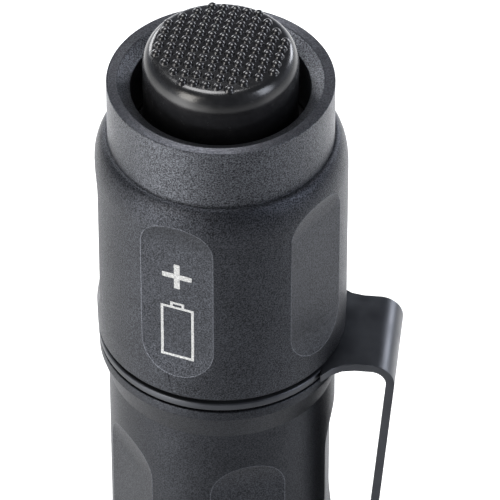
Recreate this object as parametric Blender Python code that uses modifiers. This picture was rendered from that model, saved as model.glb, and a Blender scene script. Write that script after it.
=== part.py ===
"""A pocket flashlight for two 17 mm lithium cells, standing on its bezel with the tail switch up.

Metres, +Z up. The origin is the centre of the bezel's front face, the lamp's axis is Z, and the
pocket clip lies towards +X. Every radius grows outwards from the cells by named walls and
clearances, and every height is stacked up from the bezel.
"""
import math

import bmesh
import bpy
from mathutils import Matrix, Vector

MM = 0.001

# Clearances
SEAT = 0.3 * MM  # between faces that seat on one another
SLIP = 0.25 * MM  # radial, between turned pieces that fit in one another
CELL_SLIP = 0.4 * MM  # radial, round the cells

# Cells: two 17 x 34.5 mm lithium cells, positive end towards the tail
CELL_RADIUS = 8.5 * MM
CELL_LENGTH = 34.5 * MM
CELL_NUB_RADIUS = 3.2 * MM
CELL_NUB_HEIGHT = 1.0 * MM
CELL_EDGE = 0.6 * MM

# Walls, from the bore outwards
NECK_WALL = 1.6 * MM
CAP_WALL = 2.03 * MM
TUBE_WALL = 2.78 * MM
FLANGE_STEP = 0.92 * MM
BORE_RADIUS = CELL_RADIUS + CELL_SLIP
NECK_RADIUS = BORE_RADIUS + NECK_WALL
CAP_BORE = NECK_RADIUS + SLIP
CAP_RADIUS = CAP_BORE + CAP_WALL
TUBE_RADIUS = BORE_RADIUS + TUBE_WALL
FLANGE_RADIUS = TUBE_RADIUS + FLANGE_STEP

# Tail collar and switch well, from the collar inwards
SHOULDER_STEP = 1.40 * MM
SHOULDER_DROP = 3.7 * MM
COLLAR_HEIGHT = 6.9 * MM
COLLAR_EDGE = 0.15 * MM
RIM_WIDTH = 1.12 * MM
COUNTERSINK = 1.3 * MM
COUNTERSINK_DEPTH = 1.2 * MM
WELL_GAP = 1.2 * MM
COLLAR_RADIUS = CAP_RADIUS - SHOULDER_STEP
RIM_INNER = COLLAR_RADIUS - RIM_WIDTH
WELL_RADIUS = RIM_INNER - COUNTERSINK
BUTTON_RADIUS = WELL_RADIUS - WELL_GAP

# Scoops milled flat across by a side cutter, which leaves round ends; their depth fixes their width
SCOOP_COUNT = 5
SCOOP_DEPTH = 0.64 * MM
SCOOP_CUTTER = 12.0 * MM  # radius of the cutter
SCOOP_CUTTER_WIDTH = 13.0 * MM
SCOOP_END_STEPS = 4
CAP_SCOOP_TOP = 8.85 * MM  # below the collar's rim
CAP_SCOOP_FOOT = 3.0 * MM  # above the cap's lower edge
CAP_SCOOP_ANGLE = math.radians(-105)
TUBE_SCOOP_ANGLE = math.radians(2)
TUBE_SCOOP_MARGIN = 4.7 * MM
TUBE_SCOOP_ROWS = 2
TUBE_SCOOP_LAND = 4.5 * MM

# Bezel, lens and seal
BEZEL_RADIUS = 18.3 * MM
BEZEL_HEIGHT = 8.0 * MM
BEZEL_CHAMFER = 0.7 * MM
BEZEL_LIP = 2.2 * MM
BEZEL_LIP_WIDTH = 1.3 * MM
BEZEL_COUNTERSINK = 0.9 * MM
BEZEL_SCALLOP_DEPTH = 1.1 * MM
BEZEL_SCALLOP_RADIUS = 7.0 * MM
SPIGOT_LENGTH = 5.5 * MM
SPIGOT_WALL = 1.3 * MM
HEAD_STEP = 0.5 * MM
BELL_WALL = 1.15 * MM
HEAD_RADIUS = BEZEL_RADIUS - HEAD_STEP
SPIGOT_BORE = HEAD_RADIUS - BELL_WALL  # in the head shell
SPIGOT_RADIUS = SPIGOT_BORE - SLIP
LENS_BORE = SPIGOT_RADIUS - SPIGOT_WALL
LENS_RADIUS = LENS_BORE - SLIP
LIP_INNER = LENS_BORE - BEZEL_LIP_WIDTH
LENS_THICK = 2.0 * MM
SEAL_SECTION = 1.1 * MM
SEAL_GAP = 0.15 * MM

# Reflector: a parabola whose vertex lies above its narrow end
REFLECTOR_DEPTH = 15.8 * MM
REFLECTOR_FOCUS = 2.5 * MM
REFLECTOR_VERTEX = 1.2 * MM
REFLECTOR_RIM = 1.2 * MM
REFLECTOR_WALL = 1.0 * MM
REFLECTOR_STEPS = 7
EYE_RADIUS = math.sqrt(4 * REFLECTOR_FOCUS * REFLECTOR_VERTEX)
BOWL_RADIUS = math.sqrt(4 * REFLECTOR_FOCUS * (REFLECTOR_VERTEX + REFLECTOR_DEPTH))

# Lamp and heat sink
GASKET_THICK = 0.6 * MM
GASKET_RADIUS = 5.5 * MM
GASKET_BORE = 2.7 * MM
EMITTER_SIDE = 3.4 * MM
EMITTER_THICK = 0.5 * MM
EMITTER_DOME = 1.3 * MM
LED_BOARD_RADIUS = 8.4 * MM
LED_BOARD_THICK = 1.4 * MM
LEAD_RADIUS = 0.55 * MM
LEAD_OFFSET = 6.6 * MM
LEAD_TAIL = 0.4 * MM
LEAD_HOLE = LEAD_RADIUS + SLIP
PILL_RADIUS = 11.4 * MM
PILL_LENGTH = 13.5 * MM
PILL_FLOOR = 5.2 * MM
PILL_WALL = 3.0 * MM
DRIVER_RADIUS = 9.1 * MM
DRIVER_THICK = 1.2 * MM
DRIVER_SINK = 0.2 * MM
CHIP_SIZE = (6.0 * MM, 5.0 * MM, 2.2 * MM)
CHIP_BURY = 0.2 * MM

# Head shell
HEAD_BORE = PILL_RADIUS + SLIP
HEAD_SPAN = 2.2 * MM  # wall behind the flare
FIN_WALL = 1.3 * MM
FIN_DEPTH = 1.2 * MM
FIN_ROOT = HEAD_BORE + FIN_WALL
FIN_RADIUS = FIN_ROOT + FIN_DEPTH
FIN_COUNT = 4
FIN_GROOVE = 1.4 * MM
FIN_LAND = 1.4 * MM
BELL_HEIGHT = 7.0 * MM
FLARE_HEIGHT = 9.0 * MM
FLARE_STEPS = 5
SHELF_THICK = 0.9 * MM
SHELF_STEP = 1.0 * MM
SHELF_BORE = BORE_RADIUS + SHELF_STEP
HEAD_NECK_LENGTH = 8.0 * MM
HEAD_END_STEP = 1.0 * MM
HEAD_END_CHAMFER = 0.6 * MM
HEAD_END_RADIUS = TUBE_RADIUS + HEAD_END_STEP

# Contact springs
HEAD_SPRING_LENGTH = 8.0 * MM
HEAD_SPRING_WIRE = 0.9 * MM
HEAD_SPRING_RADIUS = 4.6 * MM
HEAD_SPRING_TOP_RADIUS = 3.2 * MM
HEAD_SPRING_TURNS = 5
RETURN_SPRING_WIRE = 0.35 * MM
RETURN_SPRING_RADIUS = 1.7 * MM
RETURN_SPRING_TURNS = 4
SPRING_POINTS_PER_TURN = 10

# Tail switch, stacked up from the upper cell
CONTACT_HEIGHT = 2.6 * MM
CONTACT_RADIUS = 3.4 * MM
CONTACT_FACE = 2.4 * MM
CLAMP_THICK = 2.0 * MM
CLAMP_INNER = 6.2 * MM
CLAMP_NOTCH = 1.6 * MM
CLAMP_NOTCH_DEPTH = 0.9 * MM
SWITCH_BOARD_THICK = 1.2 * MM
CARRIER_HEIGHT = 9.5 * MM
CARRIER_ROOF = 1.2 * MM
CARRIER_POCKET = 6.6 * MM
CARRIER_HOLE = 3.4 * MM
SWITCH_SIDE = 8.8 * MM
SWITCH_BORE_RADIUS = 2.4 * MM
SWITCH_BORE_DEPTH = 6.0 * MM
SWITCH_SEAT_STEP = 0.5 * MM  # the cap's switch bore is this much inside the neck's skin
BOOT_RIM_THICK = 1.0 * MM
BOOT_RIM_BORE = 4.9 * MM
WELL_DEPTH = 6.8 * MM
CAP_SWITCH_BORE = NECK_RADIUS - SWITCH_SEAT_STEP
SWITCH_FIT = CAP_SWITCH_BORE - SLIP

# Rubber button
BUTTON_TRAVEL = 2.2 * MM
CROWN_RISE = 4.6 * MM  # its apex above the collar's rim
CROWN_DROP = 0.45 * MM  # from its apex to the edge of its pimpled middle
CROWN_INSET = 1.35 * MM  # from the button's wall to that edge
ROUND_DROP = 2.1 * MM
BOOT_WALL = 1.9 * MM
ROOF_THICK = 1.9 * MM
PIMPLE_PITCH = 1.19 * MM
PIMPLE_RADIUS = 0.47 * MM
PIMPLE_HEIGHT = 0.4 * MM
PIMPLE_BURY = 0.35 * MM
PIMPLE_SIDES = 5
PIMPLE_REACH = 6.7 * MM  # from the button's axis to the outermost pimple's middle
PIMPLE_TURN = math.radians(-8)
PLUNGER_RADIUS = 2.1 * MM
PLUNGER_HEAD_RADIUS = 4.4 * MM
PLUNGER_HEAD_THICK = 1.5 * MM
PLUNGER_ENTRY = 1.2 * MM  # how far its stem reaches into the switch at rest

# Tail cap, seals and clip
CAP_LENGTH = 32.1 * MM
CAP_EDGE = 0.3 * MM
CLIP_THICK = 0.9 * MM
CLIP_RING_INSET = 0.12 * MM
CLIP_WIDTH = 10.6 * MM
CLIP_TIP_WIDTH = 7.6 * MM
CLIP_REACH = 18.3 * MM  # from the axis to the outer face of the blade at its top
CLIP_BEND = 2.0 * MM  # radius of the sheet's middle line
CLIP_BEND_STEPS = 7
CLIP_LEAN = math.radians(4.5)
CLIP_BLADE = 34.0 * MM
CLIP_TIP_CLEAR = 0.35 * MM  # from the tube's skin to the blade where it comes closest
CLIP_DIP = 9.0 * MM
CLIP_TIP = 4.5 * MM
CLIP_TIP_RISE = 1.4 * MM
CLIP_ROUND_STEPS = 5
FLANGE_HEIGHT = 1.1 * MM
FLANGE_CONE = 3.1 * MM
NECK_SEAL_SECTION = 1.0 * MM
SEAL_GROOVE_DEPTH = 0.95 * MM
SEAL_GROOVE_WIDTH = 1.6 * MM
TAIL_SEAL_RISE = 1.9 * MM  # from the cap's lower edge up to the seal's middle
HEAD_SEAL_DROP = 2.2 * MM  # from the head shell's end down to the seal's middle

# Facets
SHELL_STEPS = 40
RING_STEPS = 28
SMALL_STEPS = 14
SEAL_SIDES = 6

# Heights, bottom to top
LENS_Z = BEZEL_LIP + SEAL_SECTION + 2 * SEAL_GAP
REFLECTOR_Z = LENS_Z + LENS_THICK + SEAT
REFLECTOR_TOP = REFLECTOR_Z + REFLECTOR_DEPTH
GASKET_Z = REFLECTOR_TOP + SEAT
LED_BOARD_Z = GASKET_Z + GASKET_THICK + SEAT
PILL_Z = LED_BOARD_Z + LED_BOARD_THICK + SEAT
PILL_TOP = PILL_Z + PILL_LENGTH
DRIVER_TOP = PILL_TOP - DRIVER_SINK
DRIVER_Z = DRIVER_TOP - DRIVER_THICK
SHELF_Z = PILL_TOP + SEAT
TUBE_Z = SHELF_Z + SHELF_THICK + SEAT
HEAD_TOP = TUBE_Z + HEAD_NECK_LENGTH
SPRING_Z = DRIVER_TOP + SEAT
LOWER_CELL_Z = SPRING_Z + HEAD_SPRING_LENGTH + SEAT
UPPER_CELL_Z = LOWER_CELL_Z + CELL_LENGTH + SEAT
CONTACT_Z = UPPER_CELL_Z + CELL_LENGTH + SEAT
CONTACT_TOP = CONTACT_Z + CONTACT_HEIGHT
CLAMP_Z = CONTACT_TOP - CLAMP_THICK
NECK_TOP = CLAMP_Z - SEAT
SWITCH_BOARD_Z = CONTACT_TOP + SEAT
CARRIER_Z = SWITCH_BOARD_Z + SWITCH_BOARD_THICK + SEAT
CARRIER_TOP = CARRIER_Z + CARRIER_HEIGHT
SWITCH_TOP = CARRIER_TOP - CARRIER_ROOF - SEAT
BOOT_RIM_Z = CARRIER_TOP + SEAT
BOOT_RIM_TOP = BOOT_RIM_Z + BOOT_RIM_THICK
CAP_SHELF_Z = BOOT_RIM_TOP + SEAT
RIM_Z = CAP_SHELF_Z + WELL_DEPTH
CAP_Z = RIM_Z - CAP_LENGTH
CLIP_TOP = CAP_Z - SEAT
CLIP_Z = CLIP_TOP - CLIP_THICK
FLANGE_TOP = CLIP_Z - SEAT
CONE_TOP = FLANGE_TOP - FLANGE_HEIGHT
CONE_Z = CONE_TOP - FLANGE_CONE
APEX_Z = RIM_Z + CROWN_RISE
ROOF_Z = APEX_Z - CROWN_DROP - ROOF_THICK
BUTTON_Z = BOOT_RIM_TOP + BUTTON_TRAVEL + SEAT
PLUNGER_HEAD_Z = ROOF_Z - SEAT - PLUNGER_HEAD_THICK
PLUNGER_Z = SWITCH_TOP - PLUNGER_ENTRY
RETURN_SPRING_Z = SWITCH_TOP - SWITCH_BORE_DEPTH + SEAT
TAIL_SEAL_Z = CAP_Z + TAIL_SEAL_RISE
HEAD_SEAL_Z = HEAD_TOP - HEAD_SEAL_DROP


def start_scene():
    """Empties the scene and makes one collection for the lamp and one for the cutters."""
    for obj in list(bpy.data.objects):
        bpy.data.objects.remove(obj, do_unlink=True)
    made = []
    for name in ("flashlight", "cutters"):
        collection = bpy.data.collections.new(name)
        bpy.context.scene.collection.children.link(collection)
        made.append(collection)
    made[1].hide_render = True
    return made


LAMP, CUTTERS = start_scene()


def finish(name, colour, roughness, metallic):
    """A Principled material; colour is linear RGB."""
    made = bpy.data.materials.new(name)
    made.use_nodes = True
    shader = made.node_tree.nodes["Principled BSDF"]
    shader.inputs["Base Color"].default_value = (*colour, 1.0)
    shader.inputs["Roughness"].default_value = roughness
    shader.inputs["Metallic"].default_value = metallic
    return made


ANODISED = finish("black_anodised_aluminium", (0.035, 0.037, 0.042), 0.45, 0.9)
CLIP_STEEL = finish("black_coated_spring_steel", (0.03, 0.032, 0.036), 0.4, 0.8)
BOOT_RUBBER = finish("black_silicone_rubber", (0.012, 0.012, 0.013), 0.4, 0.0)
SEAL_RUBBER = finish("black_nitrile_rubber", (0.015, 0.015, 0.015), 0.6, 0.0)
GLASS = finish("coated_mineral_glass", (0.75, 0.8, 0.85), 0.03, 0.0)
MIRROR = finish("aluminised_mirror", (0.9, 0.9, 0.92), 0.05, 1.0)
BRASS = finish("turned_brass", (0.7, 0.5, 0.2), 0.3, 1.0)
BARE_METAL = finish("bare_aluminium", (0.75, 0.75, 0.77), 0.35, 1.0)
SPRING_STEEL = finish("bright_spring_wire", (0.7, 0.7, 0.68), 0.25, 1.0)
CIRCUIT_BOARD = finish("green_circuit_board", (0.03, 0.16, 0.07), 0.5, 0.0)
WHITE_BOARD = finish("white_lamp_board", (0.8, 0.8, 0.78), 0.5, 0.0)
PHOSPHOR = finish("yellow_phosphor", (0.85, 0.65, 0.12), 0.3, 0.0)
BLACK_PLASTIC = finish("black_acetal", (0.02, 0.02, 0.022), 0.5, 0.0)
CHIP_PLASTIC = finish("black_epoxy", (0.015, 0.015, 0.015), 0.6, 0.0)
CELL_WRAP = finish("cell_wrapper", (0.05, 0.12, 0.3), 0.4, 0.0)
RED_WIRE = finish("red_wire", (0.5, 0.02, 0.02), 0.5, 0.0)
BLACK_WIRE = finish("black_wire", (0.02, 0.02, 0.02), 0.5, 0.0)


def add_object(name, mesh, material):
    """Links a mesh as a named piece of the lamp."""
    obj = bpy.data.objects.new(name, mesh)
    LAMP.objects.link(obj)
    mesh.materials.append(material)
    return obj


def add_cutter(name, mesh):
    """Links a mesh as a cutter, which isn't a piece of the lamp."""
    obj = bpy.data.objects.new(name, mesh)
    CUTTERS.objects.link(obj)
    obj.hide_render = True
    obj.display_type = "WIRE"
    return obj


def combine(obj, other, operation="DIFFERENCE"):
    """Cuts other out of obj, or joins it on."""
    boolean = obj.modifiers.new(operation.lower(), "BOOLEAN")
    boolean.operation = operation
    boolean.solver = "EXACT"
    boolean.object = other
    return obj


def smooth(mesh, angle=35):
    """Smooth shading that keeps edges sharper than the angle."""
    mesh.shade_smooth()
    mesh.set_sharp_from_angle(angle=math.radians(angle))


def arc(centre, radii, start, end, steps):
    """Points (r, z) on an elliptical arc; angles in degrees from +r towards +z."""
    points = []
    for i in range(steps + 1):
        angle = math.radians(start + (end - start) * i / steps)
        points.append((centre[0] + radii[0] * math.cos(angle), centre[1] + radii[1] * math.sin(angle)))
    return points


def profile_mesh(name, points, closed):
    """The half-section of a turned piece, as edges in the XZ plane."""
    mesh = bpy.data.meshes.new(name)
    bm = bmesh.new()
    corners = [bm.verts.new((r, 0.0, z)) for r, z in points]
    for a, b in zip(corners, corners[1:]):
        bm.edges.new((a, b))
    if closed:
        bm.edges.new((corners[-1], corners[0]))
    bm.to_mesh(mesh)
    bm.free()
    return mesh


def spin_profile(obj, steps):
    """Turns a half-section round the lamp's axis."""
    screw = obj.modifiers.new("turn", "SCREW")
    screw.axis = "Z"
    screw.steps = screw.render_steps = steps
    screw.use_merge_vertices = True
    screw.merge_threshold = 0.00001
    screw.use_smooth_shade = True
    return obj


def turned(name, points, material, steps=SHELL_STEPS, closed=True):
    """A turned piece. Its half-section runs down its outer side; an open one starts and ends on the axis."""
    obj = add_object(name, profile_mesh(name, points, closed), material)
    return spin_profile(obj, steps)


def turned_cutter(name, points, steps=SMALL_STEPS):
    return spin_profile(add_cutter(name, profile_mesh(name, points, False)), steps)


def disc(radius, low, high):
    """The half-section of a plain disc."""
    return [(0.0, high), (radius, high), (radius, low), (0.0, low)]


def washer(outer, inner, low, high):
    """The half-section of a plain ring."""
    return [(outer, high), (outer, low), (inner, low), (inner, high)]


def seal_ring(name, radius, height, section):
    """An O-ring, its section running down the outer side first."""
    points = []
    for i in range(SEAL_SIDES):
        angle = -2 * math.pi * i / SEAL_SIDES
        points.append((radius + section / 2 * math.cos(angle), height + section / 2 * math.sin(angle)))
    return turned(name, points, SEAL_RUBBER, RING_STEPS)


def bm_mesh(bm, name):
    """Turns a bmesh into a mesh and frees it."""
    mesh = bpy.data.meshes.new(name)
    bm.to_mesh(mesh)
    bm.free()
    return mesh


def add_cylinder(bm, radius, depth, place, steps=SMALL_STEPS):
    """Adds a capped cylinder whose local axis is Z, placed by a Matrix."""
    bmesh.ops.create_cone(
        bm, cap_ends=True, segments=steps, radius1=radius, radius2=radius, depth=depth, matrix=place
    )


def box_mesh(name, size, centre):
    bm = bmesh.new()
    bmesh.ops.create_cube(bm, size=1.0, matrix=Matrix.Translation(centre) @ Matrix.Diagonal((*size, 1.0)))
    return bm_mesh(bm, name)


def add_scoop_blank(bm, skin_radius, top, length, angle):
    """Adds the sweep of one side cutter: flat along the axis, rising at both ends on the cutter's radius."""
    floor = skin_radius - SCOOP_DEPTH
    run = math.sqrt(2 * SCOOP_CUTTER * SCOOP_DEPTH - SCOOP_DEPTH ** 2)
    clear = 2 * SCOOP_DEPTH
    reach = math.acos(1 - clear / SCOOP_CUTTER)
    outline = []
    for middle, side in ((top - run, 1), (top - length + run, -1)):
        end = []
        for i in range(SCOOP_END_STEPS + 1):
            swing = reach * i / SCOOP_END_STEPS
            end.append((floor + SCOOP_CUTTER * (1 - math.cos(swing)), middle + side * SCOOP_CUTTER * math.sin(swing)))
        outline += end[::side]
    turn = Matrix.Rotation(angle, 4, "Z")
    half = SCOOP_CUTTER_WIDTH / 2
    near = [bm.verts.new(turn @ Vector((x, -half, z))) for x, z in outline]
    far = [bm.verts.new(turn @ Vector((x, half, z))) for x, z in outline]
    for i in range(len(outline)):
        after = (i + 1) % len(outline)
        bm.faces.new((near[i], near[after], far[after], far[i]))
    bm.faces.new(near[::-1])
    bm.faces.new(far)


def cut_scoops(obj, name, skin_radius, top, length, first_angle):
    """Mills a ring of scoops into a turned piece."""
    bm = bmesh.new()
    for i in range(SCOOP_COUNT):
        add_scoop_blank(bm, skin_radius, top, length, first_angle + 2 * math.pi * i / SCOOP_COUNT)
    bmesh.ops.recalc_face_normals(bm, faces=bm.faces)
    return combine(obj, add_cutter(name, bm_mesh(bm, name)))


def bezel():
    """The front ring: a scalloped lip that holds the lens, and a spigot that screws into the head."""
    top = BEZEL_HEIGHT + SPIGOT_LENGTH
    ring = turned("bezel_ring", [
        (SPIGOT_RADIUS, top),
        (SPIGOT_RADIUS, BEZEL_HEIGHT),
        (HEAD_RADIUS, BEZEL_HEIGHT),
        (BEZEL_RADIUS, BEZEL_HEIGHT - HEAD_STEP),
        (BEZEL_RADIUS, BEZEL_CHAMFER),
        (BEZEL_RADIUS - BEZEL_CHAMFER, 0.0),
        (LIP_INNER + BEZEL_COUNTERSINK, 0.0),
        (LIP_INNER, BEZEL_COUNTERSINK),
        (LIP_INNER, BEZEL_LIP),
        (LENS_BORE, BEZEL_LIP),
        (LENS_BORE, top),
    ], ANODISED)
    bm = bmesh.new()
    for i in range(SCOOP_COUNT):
        place = (
            Matrix.Rotation(2 * math.pi * (i + 0.5) / SCOOP_COUNT, 4, "Z")
            @ Matrix.Translation((BEZEL_RADIUS, 0.0, BEZEL_SCALLOP_DEPTH - BEZEL_SCALLOP_RADIUS))
            @ Matrix.Rotation(math.pi / 2, 4, "Y")
        )
        add_cylinder(bm, BEZEL_SCALLOP_RADIUS, BEZEL_RADIUS, place, 48)
    combine(ring, add_cutter("scallops", bm_mesh(bm, "scallops")))


def lens_and_seal():
    turned("lens", disc(LENS_RADIUS, LENS_Z, LENS_Z + LENS_THICK), GLASS, RING_STEPS, closed=False)
    middle = (LENS_BORE + LIP_INNER) / 2
    seal_ring("lens_seal", middle, BEZEL_LIP + SEAL_GAP + SEAL_SECTION / 2, SEAL_SECTION)


def reflector():
    """The parabolic bowl, its narrow end round the emitter and its rim on the lens."""
    bowl = []
    for i in range(REFLECTOR_STEPS + 1):
        radius = EYE_RADIUS + (BOWL_RADIUS - EYE_RADIUS) * i / REFLECTOR_STEPS
        height = REFLECTOR_TOP + REFLECTOR_VERTEX - radius ** 2 / (4 * REFLECTOR_FOCUS)
        bowl.append((radius, height))
    rim_top = REFLECTOR_Z + REFLECTOR_RIM
    back = [(radius + REFLECTOR_WALL, z) for radius, z in bowl if z > rim_top + REFLECTOR_WALL]
    rim = [
        (BOWL_RADIUS + REFLECTOR_WALL / 2, rim_top),
        (LENS_RADIUS, rim_top),
        (LENS_RADIUS, REFLECTOR_Z),
    ]
    turned("reflector", back + rim + bowl[::-1], MIRROR, RING_STEPS)


def lamp():
    """The emitter on its board, and the insulating ring that centres the reflector on it."""
    turned("reflector_gasket", washer(GASKET_RADIUS, GASKET_BORE, GASKET_Z, GASKET_Z + GASKET_THICK),
           BLACK_PLASTIC, RING_STEPS)
    board = turned("led_board", disc(LED_BOARD_RADIUS, LED_BOARD_Z, LED_BOARD_Z + LED_BOARD_THICK),
                   WHITE_BOARD, RING_STEPS, closed=False)
    combine(board, lead_holes("board_lead_holes", LED_BOARD_Z, LED_BOARD_THICK))
    top = LED_BOARD_Z - SEAT
    bottom = top - EMITTER_THICK
    base = add_object("led_emitter", box_mesh("led_emitter", (EMITTER_SIDE, EMITTER_SIDE, EMITTER_THICK),
                                              (0.0, 0.0, (top + bottom) / 2)), PHOSPHOR)
    dome = [(0.0, bottom + EMITTER_THICK / 2), (EMITTER_DOME, bottom + EMITTER_THICK / 2)]
    dome += arc((0.0, bottom), (EMITTER_DOME, EMITTER_DOME), 0, -90, 5)
    combine(base, turned_cutter("emitter_dome", dome), "UNION")


def lead_holes(name, low, thick):
    """Two clearance holes for the lamp's leads, right through a plate."""
    bm = bmesh.new()
    for side in (1, -1):
        place = Matrix.Translation((0.0, side * LEAD_OFFSET, low + thick / 2))
        add_cylinder(bm, LEAD_HOLE, 3 * thick, place, 8)
    return add_cutter(name, bm_mesh(bm, name))


def heat_sink():
    """The pill behind the lamp: a solid floor for its heat and a cup that the driver closes."""
    cup = PILL_RADIUS - PILL_WALL
    seat = DRIVER_RADIUS + SLIP
    seat_z = DRIVER_Z - SEAT
    pill = turned("heat_sink_pill", [
        (PILL_RADIUS, PILL_TOP),
        (PILL_RADIUS, PILL_Z),
        (0.0, PILL_Z),
        (0.0, PILL_Z + PILL_FLOOR),
        (cup, PILL_Z + PILL_FLOOR),
        (cup, seat_z),
        (seat, seat_z),
        (seat, PILL_TOP),
        (PILL_RADIUS, PILL_TOP),
    ], BARE_METAL, RING_STEPS, closed=False)
    combine(pill, lead_holes("pill_lead_holes", PILL_Z, PILL_FLOOR))
    driver = turned("driver_board", disc(DRIVER_RADIUS, DRIVER_Z, DRIVER_TOP), CIRCUIT_BOARD,
                    RING_STEPS, closed=False)
    middle = (0.0, 0.0, DRIVER_Z + CHIP_BURY - CHIP_SIZE[2] / 2)
    combine(driver, add_cutter("driver_chip", box_mesh("driver_chip", CHIP_SIZE, middle)), "UNION")
    low = LED_BOARD_Z - LEAD_TAIL
    high = DRIVER_Z - SEAT
    for name, side, material in (("lead_positive", 1, RED_WIRE), ("lead_negative", -1, BLACK_WIRE)):
        bm = bmesh.new()
        add_cylinder(bm, LEAD_RADIUS, high - low,
                     Matrix.Translation((0.0, side * LEAD_OFFSET, (low + high) / 2)), 8)
        mesh = bm_mesh(bm, name)
        smooth(mesh)
        add_object(name, mesh, material)


def head_shell():
    """The head: a bell that flares from the finned heat sink, and a socket for the tube's neck."""
    bell_z = BEZEL_HEIGHT + SEAT
    bell_top = bell_z + BELL_HEIGHT
    flare_top = bell_top + FLARE_HEIGHT
    outside = [(HEAD_END_RADIUS - HEAD_END_CHAMFER, HEAD_TOP), (HEAD_END_RADIUS, HEAD_TOP - HEAD_END_CHAMFER)]
    fins_top = flare_top + FIN_COUNT * (FIN_GROOVE + FIN_LAND)
    slope = FIN_RADIUS - HEAD_END_RADIUS
    outside += [(HEAD_END_RADIUS, fins_top + slope), (FIN_RADIUS, fins_top)]
    for i in range(FIN_COUNT, 0, -1):
        land = flare_top + i * (FIN_GROOVE + FIN_LAND) - FIN_LAND
        outside += [(FIN_RADIUS, land), (FIN_ROOT, land)]
        outside += [(FIN_ROOT, land - FIN_GROOVE), (FIN_RADIUS, land - FIN_GROOVE)]
    for i in range(1, FLARE_STEPS + 1):
        share = i / FLARE_STEPS
        radius = FIN_RADIUS + (HEAD_RADIUS - FIN_RADIUS) * (1 - math.cos(math.pi * share)) / 2
        outside.append((radius, flare_top - FLARE_HEIGHT * share))
    ledge_z = BEZEL_HEIGHT + SPIGOT_LENGTH + SEAT
    ledge = HEAD_RADIUS - HEAD_SPAN
    inside = [
        (HEAD_RADIUS, bell_z),
        (SPIGOT_BORE, bell_z),
        (SPIGOT_BORE, ledge_z),
        (ledge, ledge_z),
        (HEAD_BORE, PILL_Z - SEAT),
        (HEAD_BORE, SHELF_Z),
        (SHELF_BORE, SHELF_Z),
        (SHELF_BORE, SHELF_Z + SHELF_THICK),
        (CAP_BORE, SHELF_Z + SHELF_THICK),
        (CAP_BORE, HEAD_TOP),
    ]
    turned("head_shell", outside + inside, ANODISED)


def coil(name, radius_low, radius_high, low, length, wire, turns):
    """A round-wire spring standing on its lowest turn; length is over the wire."""
    curve = bpy.data.curves.new(name, "CURVE")
    curve.dimensions = "3D"
    curve.bevel_depth = wire / 2
    curve.bevel_resolution = 1
    curve.use_fill_caps = True
    count = turns * SPRING_POINTS_PER_TURN + 1
    spline = curve.splines.new("POLY")
    spline.points.add(count - 1)
    for i, point in enumerate(spline.points):
        share = i / (count - 1)
        angle = 2 * math.pi * turns * share
        radius = radius_low + (radius_high - radius_low) * share - wire / 2
        height = low + wire / 2 + (length - wire) * share
        point.co = (radius * math.cos(angle), radius * math.sin(angle), height, 1.0)
    obj = bpy.data.objects.new(name, curve)
    LAMP.objects.link(obj)
    curve.materials.append(SPRING_STEEL)
    return obj


def cell(name, low):
    """One cell: a rounded can with its positive nub on top."""
    top = low + CELL_LENGTH - CELL_NUB_HEIGHT
    outline = [(0.0, top + CELL_NUB_HEIGHT), (CELL_NUB_RADIUS, top + CELL_NUB_HEIGHT), (CELL_NUB_RADIUS, top)]
    outline += arc((CELL_RADIUS - CELL_EDGE, top - CELL_EDGE), (CELL_EDGE, CELL_EDGE), 90, 0, 3)
    outline += arc((CELL_RADIUS - CELL_EDGE, low + CELL_EDGE), (CELL_EDGE, CELL_EDGE), 0, -90, 3)
    turned(name, outline + [(0.0, low)], CELL_WRAP, RING_STEPS, closed=False)


def body_tube():
    """The battery tube: a threaded neck at each end, the flange under the clip, and its scoops."""
    shoulder = HEAD_TOP + SEAT
    groove = NECK_RADIUS - SEAL_GROOVE_DEPTH
    half = SEAL_GROOVE_WIDTH / 2
    tube = turned("body_tube", [
        (NECK_RADIUS, NECK_TOP),
        (NECK_RADIUS, TAIL_SEAL_Z + half),
        (groove, TAIL_SEAL_Z + half),
        (groove, TAIL_SEAL_Z - half),
        (NECK_RADIUS, TAIL_SEAL_Z - half),
        (NECK_RADIUS, FLANGE_TOP),
        (FLANGE_RADIUS, FLANGE_TOP),
        (FLANGE_RADIUS, CONE_TOP),
        (TUBE_RADIUS, CONE_Z),
        (TUBE_RADIUS, shoulder),
        (NECK_RADIUS, shoulder),
        (NECK_RADIUS, HEAD_SEAL_Z + half),
        (groove, HEAD_SEAL_Z + half),
        (groove, HEAD_SEAL_Z - half),
        (NECK_RADIUS, HEAD_SEAL_Z - half),
        (NECK_RADIUS, TUBE_Z),
        (BORE_RADIUS, TUBE_Z),
        (BORE_RADIUS, NECK_TOP),
    ], ANODISED)
    span = CONE_Z - shoulder - 2 * TUBE_SCOOP_MARGIN - (TUBE_SCOOP_ROWS - 1) * TUBE_SCOOP_LAND
    length = span / TUBE_SCOOP_ROWS
    for row in range(TUBE_SCOOP_ROWS):
        top = CONE_Z - TUBE_SCOOP_MARGIN - row * (length + TUBE_SCOOP_LAND)
        cut_scoops(tube, "tube_scoops_{}".format(row + 1), TUBE_RADIUS, top, length, TUBE_SCOOP_ANGLE)
    middle = NECK_RADIUS - SEAL_GROOVE_DEPTH / 2 + SLIP / 2
    seal_ring("tail_seal", middle, TAIL_SEAL_Z, NECK_SEAL_SECTION)
    seal_ring("head_seal", middle, HEAD_SEAL_Z, NECK_SEAL_SECTION)


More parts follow.
